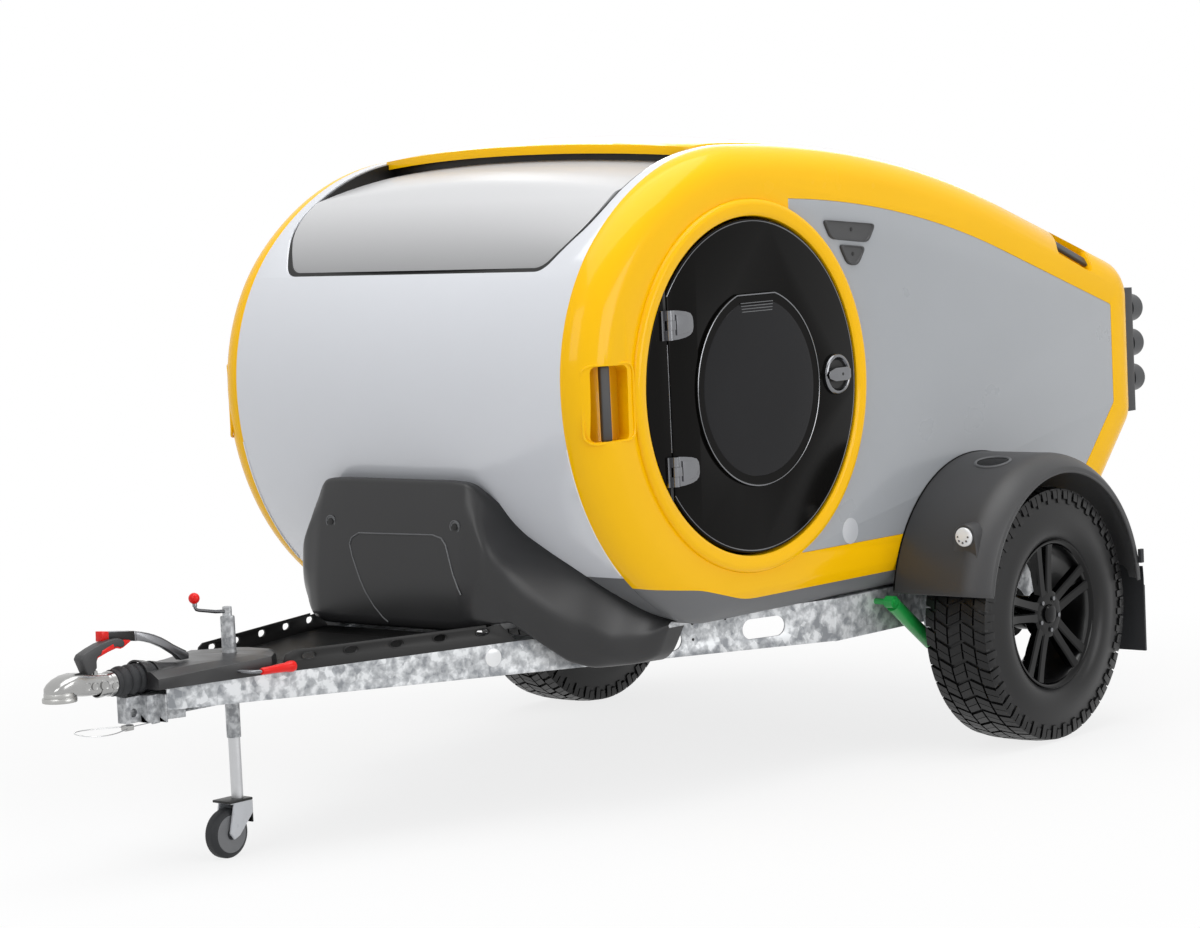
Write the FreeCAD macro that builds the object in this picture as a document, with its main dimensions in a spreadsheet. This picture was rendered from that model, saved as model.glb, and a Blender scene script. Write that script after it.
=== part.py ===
"""Teardrop camping trailer: galvanised V drawbar and torsion axle, rounded two-tone cabin with round side
doors, rear galley hatch, mudguards, overrun ball coupling and a wind-up jockey wheel.

Frame: +X forwards to the coupling, +Y to the left, +Z up, origin on the floor under the middle of the
overall length. Millimetres. The driving sizes are the cells of the sheet named sizes."""
import FreeCAD
import Part
import math
import os
import re
import Sketcher
from FreeCAD import Placement, Rotation, Vector

doc = FreeCAD.newDocument("teardrop_trailer")
sheet = doc.addObject("Spreadsheet::Sheet", "sizes")

SIZES = (
    # wheels and axle
    ("axle_x", -983.5, "wheel axis, along the trailer"),
    ("tyre_radius", 379.5, "235/75 R16 tyre, outside"),
    ("tyre_width", 235, "tyre section width"),
    ("wheel_y", 892, "middle of the tyre from the centre line"),
    ("rim_radius", 220, "outside of the rim flange"),
    ("rim_wall", 9, "rim barrel wall"),
    ("spoke_depth", 32, "thickness of the spokes"),
    ("hub_radius", 58, "hub boss"),
    ("drum_radius", 125, "brake drum"),
    ("stub_radius", 20, "stub axle"),
    ("run_gap", 0.05, "radial running clearance of a shaft"),
    ("arm_reach", 178, "trailing arm, tube to wheel axis, along the trailer"),
    ("beam_side", 80, "torsion axle tube, square"),
    ("beam_wall", 5, "torsion axle tube wall"),
    ("arm_width", 30, "trailing arm across the trailer"),
    ("shock_y", 717, "shock absorber from the centre line"),
    ("shock_radius", 22, "shock absorber body"),
    # chassis
    ("rail_front_x", 1699, "front end of a drawbar rail"),
    ("rail_front_y", 72, "outer face of the rail at its front end"),
    ("rail_rear_x", -344, "rear end of a drawbar rail"),
    ("rail_rear_y", 662, "outer face of the rail at its rear end"),
    ("rail_front_z", 432, "bottom of the rail at its front end"),
    ("rail_rear_z", 366, "bottom of the rail at its rear end"),
    ("rail_flange", 42, "flange width"),
    ("steel", 5, "chassis plate thickness"),
    ("member_rear_x", -1560, "rear end of the side members"),
    ("tray_front_x", 1375, "front edge of the cargo tray"),
    ("tray_rear_x", 695, "rear edge of the cargo tray"),
    ("tray_height", 54, "upstands of the cargo tray"),
    ("tray_plate", 4, "cargo tray sheet"),
    # body
    ("front_x", 753.5, "foremost point of the body"),
    ("nose_z", 1170, "height of the foremost point"),
    ("belly_radius", 715, "front curve below the foremost point"),
    ("chin_radius", 300, "curve from the front into the underside"),
    ("brow_radius", 565, "front curve above the foremost point"),
    ("brow_angle", 45, "where the brow runs into the crown, degrees"),
    ("crest_z", 1805, "top of the side frames"),
    ("roof_radius", 3970, "roof curve"),
    ("roof_angle", 18.6, "slope of the rear roof, degrees"),
    ("roof_crown", 40, "rise of the roof between the side frames"),
    ("rear_x", -1940.5, "rear face of the body"),
    ("rear_radius", 130, "upper rear corner"),
    ("tail_z", 880, "where the rear face turns under"),
    ("tail_x", -1573.5, "where the underside begins"),
    ("tail_radius", 115, "lower rear corners"),
    ("body_base", 490, "underside of the body, top of the chassis"),
    ("frame_y", 618, "inner edge of a side frame"),
    ("side_y", 713, "flat of the side"),
    ("wall", 45, "thickness of the walls"),
    ("panel_inset", 155, "side panel's edge from the outline"),
    ("panel_low_z", 649, "lower edge of the side panel"),
    ("panel_front", 190, "side panel's front edge behind the door centre"),
    ("skirt_z", 547, "joint between side frame and skirt"),
    ("skirt_rise_x", 120, "where that joint begins to rise"),
    ("skirt_slope", 0.2576, "rise of that joint where it first climbs"),
    ("shell_low_z", 652, "lower edge of the front shell"),
    # doors
    ("door_x", 52.5, "door centre"),
    ("door_z", 1136, "door centre"),
    ("door_radius", 469, "opening in the door surround"),
    ("door_gap", 7, "gap round the door leaf"),
    ("door_thickness", 45, "door leaf"),
    ("door_face_y", 720, "outer face of the door leaf"),
    ("ring_width", 49, "door surround"),
    ("ring_proud", 14, "door surround beyond the side"),
    ("hinge_x", "=door_x + door_radius - 94", "door hinge line"),
    ("hinge_y", 731, "door hinge pin"),
    ("pin_radius", 5, "hinge pins"),
    ("knuckle_radius", 10, "hinge knuckles"),
    ("hinge_height", 80, "door hinge height"),
    ("hinge_upper_z", 1327, "upper door hinge"),
    ("hinge_lower_z", 933, "lower door hinge"),
    ("leaf_gap", 6, "gap between door leaf and post"),
    ("porthole_x", 41.5, "door window centre"),
    ("porthole_z", 1131, "door window centre"),
    ("porthole_radius", 256, "hole in the door leaf"),
    ("porthole_lip", 19, "window frame beyond the hole"),
    ("porthole_proud", 8, "window frame beyond the leaf"),
    ("lock_x", -316.5, "door lock centre"),
    ("lock_z", 1141, "door lock centre"),
    ("lock_radius", 58, "door lock"),
    # rear hatch
    ("hatch_x", -1180, "hatch hinge line"),
    ("hatch_gap", 6, "gap round the hatch"),
    ("hatch_half", 554, "half width of the hatch"),
    ("hatch_low_z", 899, "lower edge of the hatch"),
    ("counter_z", 1000, "top of the galley counter"),
    ("ply", 18, "galley board thickness"),
    # front window
    ("pane_half", 572, "half width of the front window"),
    ("gasket", 10, "gasket round the front window"),
    ("pane", 8, "front window thickness"),
    ("pane_low_z", 1497, "lower edge of the front window"),
    ("pane_corner_z", 1620, "where the window's lower corners begin"),
    ("strip_rear_x", -180, "rear end of the front shell's side strips"),
    ("roof_front_x", 190, "front edge of the roof above the window, at the centre line"),
    ("roof_lip", 24, "thickness of the roof where it overhangs the window"),
    ("roof_overhang", 210, "length of that overhang"),
    # mudguards
    ("arch_back", 16, "middle of the wheel arch behind the wheel axis"),
    ("arch_z", 412, "middle of the wheel arch"),
    ("arch_radius", 444, "mudguard against the body"),
    ("arch_lip_radius", 388, "opening in the mudguard's outer face"),
    ("arch_round_y", 95, "rounding of the mudguard's outer edge, across"),
    ("arch_outer_y", 1030, "mudguard's outer face"),
    ("arch_wall", 6, "mudguard thickness"),
    ("flap_low_z", 210, "lower edge of the mud flap"),
    # lamps
    ("lamp_y", 641, "rear lamps from the centre line"),
    ("lamp_top_z", 1229, "top rear lamp"),
    ("lamp_pitch", 112.5, "spacing of the rear lamps"),
    ("lamp_radius", 44, "rear lamp"),
    ("lamp_depth", 66, "rear lamp beyond its panel"),
    ("lamp_panel", 27, "lamp panel beyond the rear face"),
    # coupling and jockey wheel
    ("coupling_x", 1989.5, "centre of the ball socket"),
    ("shaft_z", 515, "drawbar shaft axis"),
    ("shaft_radius", 22, "drawbar shaft"),
    ("cup_low_z", 492, "lower edge of the ball cup"),
    ("socket_radius", 25.25, "ball socket, for a 50 mm ball"),
    ("cup_radius", 44, "outside of the ball cup"),
    ("bellows_radius", 40, "rubber bellows"),
    ("bellows_front_x", "=coupling_x - 169", "front end of the bellows"),
    ("bellows_length", 133, "length of the bellows"),
    ("cover_top_z", 538, "top of the drawbar cover"),
    ("cover_rear_x", 1262, "rear end of the drawbar cover"),
    ("jockey_x", 1409.5, "jockey wheel tube"),
    ("jockey_tube_radius", 19, "outer tube"),
    ("jockey_tube_wall", 3, "outer tube wall"),
    ("jockey_tube_low_z", 313, "lower end of the outer tube"),
    ("jockey_tube_top_z", 634, "upper end of the outer tube"),
    ("jockey_leg_radius", 15.9, "inner tube"),
    ("jockey_wheel_radius", 65, "jockey wheel"),
    ("jockey_trail", 46, "jockey wheel's axis from its tube"),
    ("jockey_width", 42, "jockey wheel width"),
)
for row, (alias, value, note) in enumerate(SIZES, start=1):
    sheet.set(f"A{row}", alias)
    sheet.set(f"B{row}", str(value))
    sheet.setAlias(f"B{row}", alias)
    sheet.set(f"C{row}", note)
doc.recompute()
ALIASES = {alias for alias, _, _ in SIZES}


class Cells:
    """Reads the sheet's cells by their aliases."""

    def __getattr__(self, alias):
        return float(sheet.get(alias))


S = Cells()
nodes = []


def expr(text):
    """An expression in which each alias gets the sheet's name."""
    def named(word):
        return "sizes." + word[0] if word[0] in ALIASES else word[0]

    return re.sub(r"[A-Za-z_]\w*", named, str(text))


def bind(obj, **properties):
    """Ties properties of an object to expressions of the sheet's cells."""
    for name, text in properties.items():
        obj.setExpression(name.replace("__", "."), expr(text))
    return obj


def place(obj, at=(0, 0, 0), turn=None):
    """Sets an object's rotation and ties its position to the sheet's cells."""
    if turn is not None:
        obj.Placement = Placement(Vector(), turn)
    return bind(obj, Placement__Base__x=at[0], Placement__Base__y=at[1], Placement__Base__z=at[2])


ALONG = {
    "X": Rotation(Vector(0, 1, 0), 90),
    "Y": Rotation(Vector(1, 0, 0), -90),
    "Z": Rotation(),
}


def box(name, low, size):
    """A box by its lowest corner and its size."""
    obj = doc.addObject("Part::Box", name)
    bind(obj, Length=size[0], Width=size[1], Height=size[2])
    return place(obj, low)


def rod(name, axis, radius, length, at):
    """A cylinder that runs from a point along +X, +Y or +Z."""
    obj = doc.addObject("Part::Cylinder", name)
    bind(obj, Radius=radius, Height=length)
    return place(obj, at, ALONG[axis])


def fuse(name, *parts):
    obj = doc.addObject("Part::MultiFuse", name)
    obj.Shapes = list(parts)
    return obj


def cut(name, base, *tools):
    obj = doc.addObject("Part::Cut", name)
    obj.Base = base
    obj.Tool = tools[0] if len(tools) == 1 else fuse(name + "_tools", *tools)
    return obj


def common(name, *parts):
    obj = doc.addObject("Part::MultiCommon", name)
    obj.Shapes = list(parts)
    return obj


def solid(name, shape):
    """A piece whose shape is worked out in this file."""
    obj = doc.addObject("Part::Feature", name)
    obj.Shape = shape
    return obj


def mirror(name, source):
    """The same piece on the right side."""
    obj = doc.addObject("Part::Mirroring", name)
    obj.Source = source
    obj.Normal = Vector(0, 1, 0)
    return obj


def lathe(name, outline, axis, at):
    """A turned piece: its half section as (radius, along the axis) corners, turned about +X, +Y or +Z."""
    body = doc.addObject("PartDesign::Body", name)
    plane = [item for item in body.Origin.OriginFeatures if item.Role == "XZ_Plane"][0]
    sketch = body.newObject("Sketcher::SketchObject", name + "_section")
    sketch.AttachmentSupport = [(plane, "")]
    sketch.MapMode = "FlatFace"
    count = len(outline)
    flat = [Vector(10 * math.cos(6.28 * i / count), 10 * math.sin(6.28 * i / count), 0) for i in range(count)]
    for i in range(count):
        sketch.addGeometry(Part.LineSegment(flat[i], flat[(i + 1) % count]), False)
    for i in range(count):
        sketch.addConstraint(Sketcher.Constraint("Coincident", i, 2, (i + 1) % count, 1))
    for i, corner in enumerate(outline):
        for kind, text in zip(("DistanceX", "DistanceY"), corner):
            number = sketch.addConstraint(Sketcher.Constraint(kind, -1, 1, i, 1, flat[i][kind == "DistanceY"]))
            sketch.setExpression(f"Constraints[{number}]", expr(text))
    doc.recompute()
    turned = body.newObject("PartDesign::Revolution", name + "_turned")
    turned.Profile = sketch
    turned.ReferenceAxis = (sketch, ["V_Axis"])
    turned.Angle = 360
    return place(body, at, ALONG[axis])


def node(name, *parts):
    """Names a sub-part; several separate pieces on one body go into one node."""
    obj = parts[0]
    if len(parts) > 1:
        obj = doc.addObject("Part::Compound", name + "_set")
        obj.Links = list(parts)
    obj.Label = name
    nodes.append((name, obj))
    return obj


def pair(name, left):
    """Names a piece and its mirror image as the left and right sub-parts."""
    node(name + "_left", left)
    return left, node(name + "_right", mirror(left.Name + "_mirrored", left))


def both(name, *lefts):
    """Puts pieces and their mirror images into one node."""
    parts = [piece for left in lefts for piece in (left, mirror(left.Name + "_mirrored", left))]
    return node(name, *parts)


def face_of(points, plane="XZ", level=0.0):
    """A flat face with straight edges, from points in the XZ, XY or YZ plane."""
    put = {"XZ": lambda a, b: Vector(a, level, b), "XY": lambda a, b: Vector(a, b, level),
           "YZ": lambda a, b: Vector(level, a, b)}[plane]
    corners = [put(a, b) for a, b in points]
    return Part.Face(Part.makePolygon(corners + corners[:1]))


def slab(low, high):
    return Part.makeBox(*(high[i] - low[i] for i in range(3)), Vector(*low))


# ---------------------------------------------------------------- side outline of the body


class P2:
    """Points of the side view, and the straight lines between them."""

    @staticmethod
    def on_circle(centre, radius, degrees):
        angle = math.radians(degrees)
        return (centre[0] + radius * math.cos(angle), centre[1] + radius * math.sin(angle))

    @staticmethod
    def meet(p, d, q, e):
        """Where the line from p along d meets the line from q along e."""
        scale = ((q[0] - p[0]) * e[1] - (q[1] - p[1]) * e[0]) / (d[0] * e[1] - d[1] * e[0])
        return (p[0] + scale * d[0], p[1] + scale * d[1])

    @staticmethod
    def step(start, run, slope):
        """The point a run further along a line of a given slope."""
        return (start[0] + run, start[1] + run * slope)


def v3(point):
    return Vector(point[0], 0, point[1])


def arc(centre, radius, start, end):
    middle = (start + end) / 2
    ends = [v3(P2.on_circle(centre, radius, degrees)) for degrees in (start, middle, end)]
    return Part.Arc(*ends).toShape()


def rounded(points, radii):
    """Straight edges through points, with an arc of the given radius at each inner one."""
    edges = []
    start = points[0]
    for i, radius in enumerate(radii, start=1):
        before, corner, after = points[i - 1], points[i], points[i + 1]
        to_back = Vector(before[0] - corner[0], before[1] - corner[1], 0).normalize()
        to_next = Vector(after[0] - corner[0], after[1] - corner[1], 0).normalize()
        half = to_back.getAngle(to_next) / 2
        reach = radius / math.tan(half)
        bisector = (to_back + to_next).normalize()
        first = (corner[0] + to_back.x * reach, corner[1] + to_back.y * reach)
        last = (corner[0] + to_next.x * reach, corner[1] + to_next.y * reach)
        depth = radius / math.sin(half) - radius
        middle = (corner[0] + bisector.x * depth, corner[1] + bisector.y * depth)
        edges.append(Part.makeLine(v3(start), v3(first)))
        edges.append(Part.Arc(v3(first), v3(middle), v3(last)).toShape())
        start = last
    edges.append(Part.makeLine(v3(start), v3(points[-1])))
    return edges


LEAST_CORNER = 12


def body_lines():
    """Centres and angles of the outline's arcs, which every inset shares."""
    belly = (S.front_x - S.belly_radius, S.nose_z)
    brow = (S.front_x - S.brow_radius, S.nose_z)
    brow_end = P2.on_circle(brow, S.brow_radius, S.brow_angle)
    angle = math.radians(S.brow_angle)
    crown_radius = (S.crest_z - brow_end[1]) / (1 - math.sin(angle))
    crown = (brow_end[0] - crown_radius * math.cos(angle), brow_end[1] - crown_radius * math.sin(angle))
    drop = S.nose_z - S.body_base - S.chin_radius
    chin_x = belly[0] + math.sqrt((S.belly_radius - S.chin_radius) ** 2 - drop ** 2)
    chin = (chin_x, S.body_base + S.chin_radius)
    chin_angle = math.degrees(math.atan2(chin[1] - belly[1], chin[0] - belly[0]))
    roof = (crown[0], S.crest_z - S.roof_radius)
    return belly, brow, crown, crown_radius, chin, chin_angle, roof


BELLY, BROW, CROWN, CROWN_RADIUS, CHIN, CHIN_ANGLE, ROOF = body_lines()


def outline(inset=0.0, lift=0.0):
    """The body's side outline as a face, set in by a distance all round and lifted."""
    slope = math.radians(S.roof_angle)
    roof_end = P2.on_circle(ROOF, S.roof_radius - inset, 90 + S.roof_angle)
    rear = S.rear_x + inset
    tail = Vector(S.tail_x - S.rear_x, S.body_base - S.tail_z, 0).normalize()
    tail_point = (S.rear_x - tail.y * inset, S.tail_z + tail.x * inset)
    base = S.body_base + inset
    upper = P2.meet(roof_end, (-math.cos(slope), -math.sin(slope)), (rear, 0), (0, 1))
    lower = P2.meet((rear, 0), (0, 1), tail_point, (tail.x, tail.y))
    under = P2.meet(tail_point, (tail.x, tail.y), (0, base), (1, 0))
    chin_start = (CHIN[0], base)
    radii = [max(radius - inset, LEAST_CORNER) for radius in (S.rear_radius, S.tail_radius, S.tail_radius)]
    edges = [
        arc(CHIN, S.chin_radius - inset, -90, CHIN_ANGLE),
        arc(BELLY, S.belly_radius - inset, CHIN_ANGLE, 0),
        arc(BROW, S.brow_radius - inset, 0, S.brow_angle),
        arc(CROWN, CROWN_RADIUS - inset, S.brow_angle, 90),
        arc(ROOF, S.roof_radius - inset, 90, 90 + S.roof_angle),
    ]
    edges += rounded([roof_end, upper, lower, under, chin_start], radii)
    face = Part.Face(Part.Wire(Part.__sortEdges__(edges)))
    face.translate(Vector(0, 0, lift))
    return face


def across(face, low_y, high_y):
    """A face of the side view, extruded between two distances from the centre line."""
    moved = face.copy()
    moved.translate(Vector(0, low_y, 0))
    return moved.extrude(Vector(0, high_y - low_y, 0))


def domed(face, half):
    """A face of the side view, swung sideways about an axis far below, which gives the roof its crown."""
    swing_radius = (S.frame_y ** 2 + S.roof_crown ** 2) / (2 * S.roof_crown)
    centre = Vector(0, 0, S.crest_z + S.roof_crown - swing_radius)
    swing = 1.3 * math.degrees(math.asin(half / swing_radius))
    turned = face.copy()
    turned.rotate(centre, Vector(1, 0, 0), -swing)
    return turned.revolve(centre, Vector(1, 0, 0), 2 * swing)


FAR = 5000
side_round = S.side_y - S.frame_y


def envelope():
    """The body's outer form, its side edges rounded all the way round."""
    block = across(outline(), -S.side_y, S.side_y)
    rims = [edge for edge in block.Edges if abs(abs(edge.BoundBox.YMin) - S.side_y) < 0.01
            and edge.BoundBox.YLength < 0.01]
    return block.makeFillet(side_round, rims)


BODY = envelope()
CAVITY = across(outline(S.wall), S.wall - S.side_y, S.side_y - S.wall)
LEFT = slab((-FAR, S.frame_y, -FAR), (FAR, FAR, FAR))
MIDDLE = slab((-FAR, -S.frame_y, -FAR), (FAR, S.frame_y, FAR))


def along_y(radius, x, z, low_y=0.0, high_y=FAR):
    return Part.makeCylinder(radius, high_y - low_y, Vector(x, low_y, z), Vector(0, 1, 0))


def trim_x(shape, low, high):
    return shape.common(slab((low, -FAR, -FAR), (high, FAR, FAR)))


# ---------------------------------------------------------------- body panels


SKIRT_CLIMB = 198        # lengths of the joint's first climb and of the gentler run after it
SKIRT_EASE = 172
SKIRT_EASE_SLOPE = 0.116
SKIRT_LAST_SLOPE = 0.335
SKIRT_ROUNDS = (400, 500, 300)


def split_line():
    """Everything below the joint between side frame and skirt, which waves up towards the front."""
    crest = P2.step((S.skirt_rise_x, S.skirt_z), SKIRT_CLIMB, S.skirt_slope)
    ease = P2.step(crest, SKIRT_EASE, SKIRT_EASE_SLOPE)
    last = P2.step(ease, FAR - ease[0], SKIRT_LAST_SLOPE)
    points = [(-FAR, S.skirt_z), (S.skirt_rise_x, S.skirt_z), crest, ease, last]
    edges = rounded(points, SKIRT_ROUNDS)
    corners = [last, (FAR, -FAR), (-FAR, -FAR), points[0]]
    edges += [Part.makeLine(v3(first), v3(second)) for first, second in zip(corners, corners[1:])]
    return across(Part.Face(Part.Wire(Part.__sortEdges__(edges))), -FAR, FAR)


def side_panel_block():
    """The flat panel behind the door, through the wall."""
    block = across(outline(S.panel_inset), S.frame_y, FAR)
    window = slab((-FAR, 0, S.panel_low_z), (S.door_x - S.panel_front, FAR, FAR))
    return block.common(window).cut(along_y(S.door_radius + S.ring_width, S.door_x, S.door_z))


# a grab recess: middle of its mouth, direction of its length, direction it faces, length, height, depth
GRABS = (
    ("front", Vector(651.5, 693, 1135), Vector(-0.03, -0.03, 1), Vector(0.30, 0.954, 0.02), 200, 128, 52),
    ("rear", Vector(-1602, 690, 1432), Vector(0.935, 0.0, 0.355), Vector(-0.22, 0.80, 0.56), 205, 92, 50),
)
GRAB_BAR = (30, 14)
GRAB_BAR_SINK = 6


def grab_frame(middle, along, facing):
    """The placement of a grab recess: its x along the bar, its z out of the body."""
    along = Vector(along).normalize()
    facing = (facing - along * facing.dot(along)).normalize()
    side = facing.cross(along)
    matrix = FreeCAD.Matrix(along.x, side.x, facing.x, middle.x, along.y, side.y, facing.y, middle.y,
                            along.z, side.z, facing.z, middle.z, 0, 0, 0, 1)
    return Placement(matrix)


def grab_recess(name, middle, along, facing, length, height, depth):
    pocket = Part.makeBox(length, height, depth + 60, Vector(-length / 2, -height / 2, -depth))
    pocket = pocket.makeFillet(18, [e for e in pocket.Edges if e.BoundBox.ZLength > depth])
    pocket.Placement = grab_frame(middle, along, facing)
    return pocket


def grab_liner(name, middle, along, facing, length, height, depth):
    """The moulded box behind a grab recess, so that it is closed inside."""
    shell = Part.makeBox(length + 12, height + 12, depth + 20, Vector(-length / 2 - 6, -height / 2 - 6, -depth - 6))
    shell.Placement = grab_frame(middle, along, facing)
    return shell


recesses = [grab_recess(*grab) for grab in GRABS]
skirt_space = split_line()
panel = side_panel_block()
door_hole = along_y(S.door_radius + S.ring_width, S.door_x, S.door_z)

frame_shape = BODY.common(LEFT).cut(CAVITY).cut(skirt_space).cut(panel).cut(door_hole)
for grab, recess in zip(GRABS, recesses):
    frame_shape = frame_shape.fuse(grab_liner(*grab).common(BODY).common(LEFT).cut(panel).cut(door_hole))
    frame_shape = frame_shape.cut(recess)
side_frame, _ = pair("side_frame", solid("side_frame", frame_shape.removeSplitter()))
pair("side_panel", solid("side_panel", BODY.common(panel).cut(CAVITY)))
skirt = solid("skirt", BODY.common(LEFT).common(skirt_space).cut(CAVITY).cut(door_hole))
both("side_skirts", skirt)

band = across(outline(), -S.frame_y, S.frame_y).cut(CAVITY)
hatch_edge_x = S.hatch_x - S.hatch_gap
hatch_side = S.hatch_half + S.hatch_gap


WINDOW_CORNER = 94           # how far the slant across a lower corner reaches in
WINDOW_ROUNDS = (150, 60, 60, 150)


def window_face(grow):
    """The front window seen from ahead: straight sides, slanted and rounded across the lower corners."""
    half = S.pane_half + grow
    low = S.pane_low_z - grow
    half_low = half - WINDOW_CORNER
    points = [(-half, FAR), (-half, S.pane_corner_z), (-half_low, low), (half_low, low),
              (half, S.pane_corner_z), (half, FAR)]
    edges = rounded(points, WINDOW_ROUNDS)
    edges.append(Part.makeLine(v3(points[-1]), v3(points[0])))
    face = Part.Face(Part.Wire(Part.__sortEdges__(edges)))
    face.rotate(Vector(), Vector(0, 0, 1), 90)
    face.translate(Vector(-FAR, 0, 0))
    return face.extrude(Vector(2 * FAR, 0, 0))


roof_back_x = S.roof_front_x - S.roof_overhang
window_opening = window_face(S.gasket).cut(slab((-FAR, -FAR, -FAR), (roof_back_x, FAR, FAR)))
front = trim_x(band, CHIN[0], FAR)
low_front = front.common(slab((-FAR, -FAR, 0), (FAR, FAR, S.shell_low_z)))
front = front.cut(low_front)
strips = trim_x(band, S.strip_rear_x, CHIN[0])
strips = strips.common(slab((-FAR, -FAR, S.nose_z), (FAR, FAR, FAR)))
opening_half = S.pane_half + S.gasket
inner_roof = slab((-FAR, -opening_half, S.nose_z), (roof_back_x, opening_half, FAR))
front_shell = front.fuse(strips).cut(inner_roof).cut(window_opening)
node("front_shell", solid("front_shell", front_shell.removeSplitter()))

roof_band = domed(outline(0, S.roof_crown).cut(outline(S.wall, S.roof_crown)), S.frame_y).common(MIDDLE)
roof_band = roof_band.common(slab((-FAR, -FAR, S.nose_z), (FAR, FAR, FAR)))
roof = trim_x(roof_band, S.hatch_x, roof_back_x)
roof = roof.cut(slab((S.strip_rear_x, -FAR, 0), (FAR, -opening_half, FAR)))
roof = roof.cut(slab((S.strip_rear_x, opening_half, 0), (FAR, FAR, FAR)))
ROOF_SWEEP = 2800   # radius of the roof's front edge seen from above
GASKET_SET_BACK = 30
GASKET_DEPTH = 20
sweep_centre = Vector(S.roof_front_x - ROOF_SWEEP, 0, 0)


def overhang(inset_low, inset_high, back):
    """A crowned layer below the roof's surface, ahead of its full thickness and short of its front edge."""
    layer = domed(outline(inset_low, S.roof_crown).cut(outline(inset_high, S.roof_crown)), S.frame_y)
    layer = layer.common(slab((roof_back_x, -opening_half, S.nose_z), (FAR, opening_half, FAR)))
    return layer.common(Part.makeCylinder(ROOF_SWEEP - back, FAR, sweep_centre))


roof_lip = overhang(0, S.roof_lip, 0)
node("roof_panel", solid("roof_panel", roof.fuse(roof_lip).removeSplitter()))

rear = trim_x(band, -FAR, S.tail_x)
rear = rear.fuse(trim_x(band, S.tail_x, S.hatch_x).common(slab((-FAR, -FAR, S.nose_z), (FAR, FAR, FAR))))
rear = rear.cut(slab((-FAR, -hatch_side, S.hatch_low_z - S.hatch_gap), (S.hatch_x, hatch_side, FAR)))
node("rear_shell", solid("rear_shell", rear.removeSplitter()))

floor_band = trim_x(band, S.tail_x, CHIN[0]).common(slab((-FAR, -FAR, 0), (FAR, FAR, S.nose_z)))
floor_band = floor_band.fuse(low_front).removeSplitter()
node("floor_pan", solid("floor_pan", floor_band))

BULKHEAD_SET = 100
bulkhead_x = S.hatch_x - BULKHEAD_SET
bulkhead = trim_x(CAVITY, bulkhead_x - S.ply, bulkhead_x)
counter = CAVITY.common(slab((S.rear_x + S.wall + 20, -FAR, S.counter_z - S.ply),
                             (bulkhead_x - S.ply, FAR, S.counter_z)))
node("galley_unit", solid("galley_unit", bulkhead.fuse(counter).removeSplitter()))


def pane_profile():
    """Centre section of the front window: two outer arcs, the same again one pane deeper."""
    low = (S.front_x - 102, S.pane_low_z)
    bend = (S.front_x - 179, S.pane_low_z + 115)
    knee = (S.front_x - 314, S.crest_z - 79)
    rise = (S.front_x - 525, S.crest_z - 32)
    top = (roof_back_x - 12, S.crest_z)
    edges = []
    for first, middle, last in ((low, bend, knee), (knee, rise, top)):
        edges.append(Part.Arc(v3(first), v3(middle), v3(last)).toShape())
    outer = Part.Wire(edges)
    inner = outer.copy()
    inner.translate(Vector(-S.pane * 0.6, 0, -S.pane * 0.8))
    ends = [Part.makeLine(outer.Vertexes[0].Point, inner.Vertexes[0].Point),
            Part.makeLine(outer.Vertexes[-1].Point, inner.Vertexes[-1].Point)]
    return Part.Face(Part.Wire(Part.__sortEdges__(outer.Edges + inner.Edges + ends)))


pane = domed(pane_profile(), S.pane_half).common(window_face(0))
pane = pane.cut(slab((-FAR, -FAR, -FAR), (roof_back_x, FAR, FAR)))
node("front_window", solid("front_window", pane))
GASKET_TOP = 4
GASKET_LOW = 64
surround = across(outline(GASKET_TOP), -FAR, FAR).cut(across(outline(GASKET_LOW), -FAR, FAR))
surround = surround.common(window_face(S.gasket).cut(window_face(0)))
surround = surround.common(slab((roof_back_x, 0, -FAR), (FAR, FAR, FAR))).cut(roof_lip)
surround = surround.fuse(surround.mirror(Vector(), Vector(0, 1, 0)))
head_strip = overhang(S.roof_lip, S.roof_lip + 30, GASKET_SET_BACK)
head_strip = head_strip.cut(Part.makeCylinder(ROOF_SWEEP - GASKET_SET_BACK - GASKET_DEPTH, FAR, sweep_centre))
head_strip = head_strip.common(window_face(0)).cut(pane)
node("window_gasket", solid("window_gasket", surround.fuse(head_strip).removeSplitter()))

# ---------------------------------------------------------------- doors

ring_outer = "door_radius + ring_width"
inner_y = "side_y - wall"
ring = cut("ring", rod("ring_disc", "Y", ring_outer, "wall + ring_proud", ("door_x", inner_y, "door_z")),
           rod("ring_hole", "Y", "door_radius", "wall + ring_proud + 2", ("door_x", inner_y + " - 1", "door_z")))
both("door_rings", ring)

leaf_back = "door_face_y - door_thickness"
leaf_disc = rod("leaf_disc", "Y", "door_radius - door_gap", "door_thickness", ("door_x", leaf_back, "door_z"))
leaf_side = box("leaf_side", ("hinge_x - leaf_gap", leaf_back + " - 1", "door_z - door_radius"),
                ("door_radius", "door_thickness + 2", "2 * door_radius"))
leaf_hole = rod("leaf_hole", "Y", "porthole_radius", "door_thickness + 2",
                ("porthole_x", leaf_back + " - 1", "porthole_z"))
leaf_left, leaf_right = pair("door", cut("door_leaf", leaf_disc, leaf_side, leaf_hole))

glass = fuse("porthole",
             rod("porthole_plug", "Y", "porthole_radius", "20", ("porthole_x", "door_face_y - 20", "porthole_z")),
             rod("porthole_frame", "Y", "porthole_radius + porthole_lip", "porthole_proud",
                 ("porthole_x", "door_face_y", "porthole_z")))
pair("door_window", glass)

post_disc = rod("post_disc", "Y", "door_radius", "door_thickness", ("door_x", leaf_back, "door_z"))
post_side = box("post_side", ("hinge_x", leaf_back + " - 1", "door_z - door_radius"),
                ("door_radius", "door_thickness + 2", "2 * door_radius"))
both("door_posts", common("door_post", post_disc, post_side))

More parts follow.
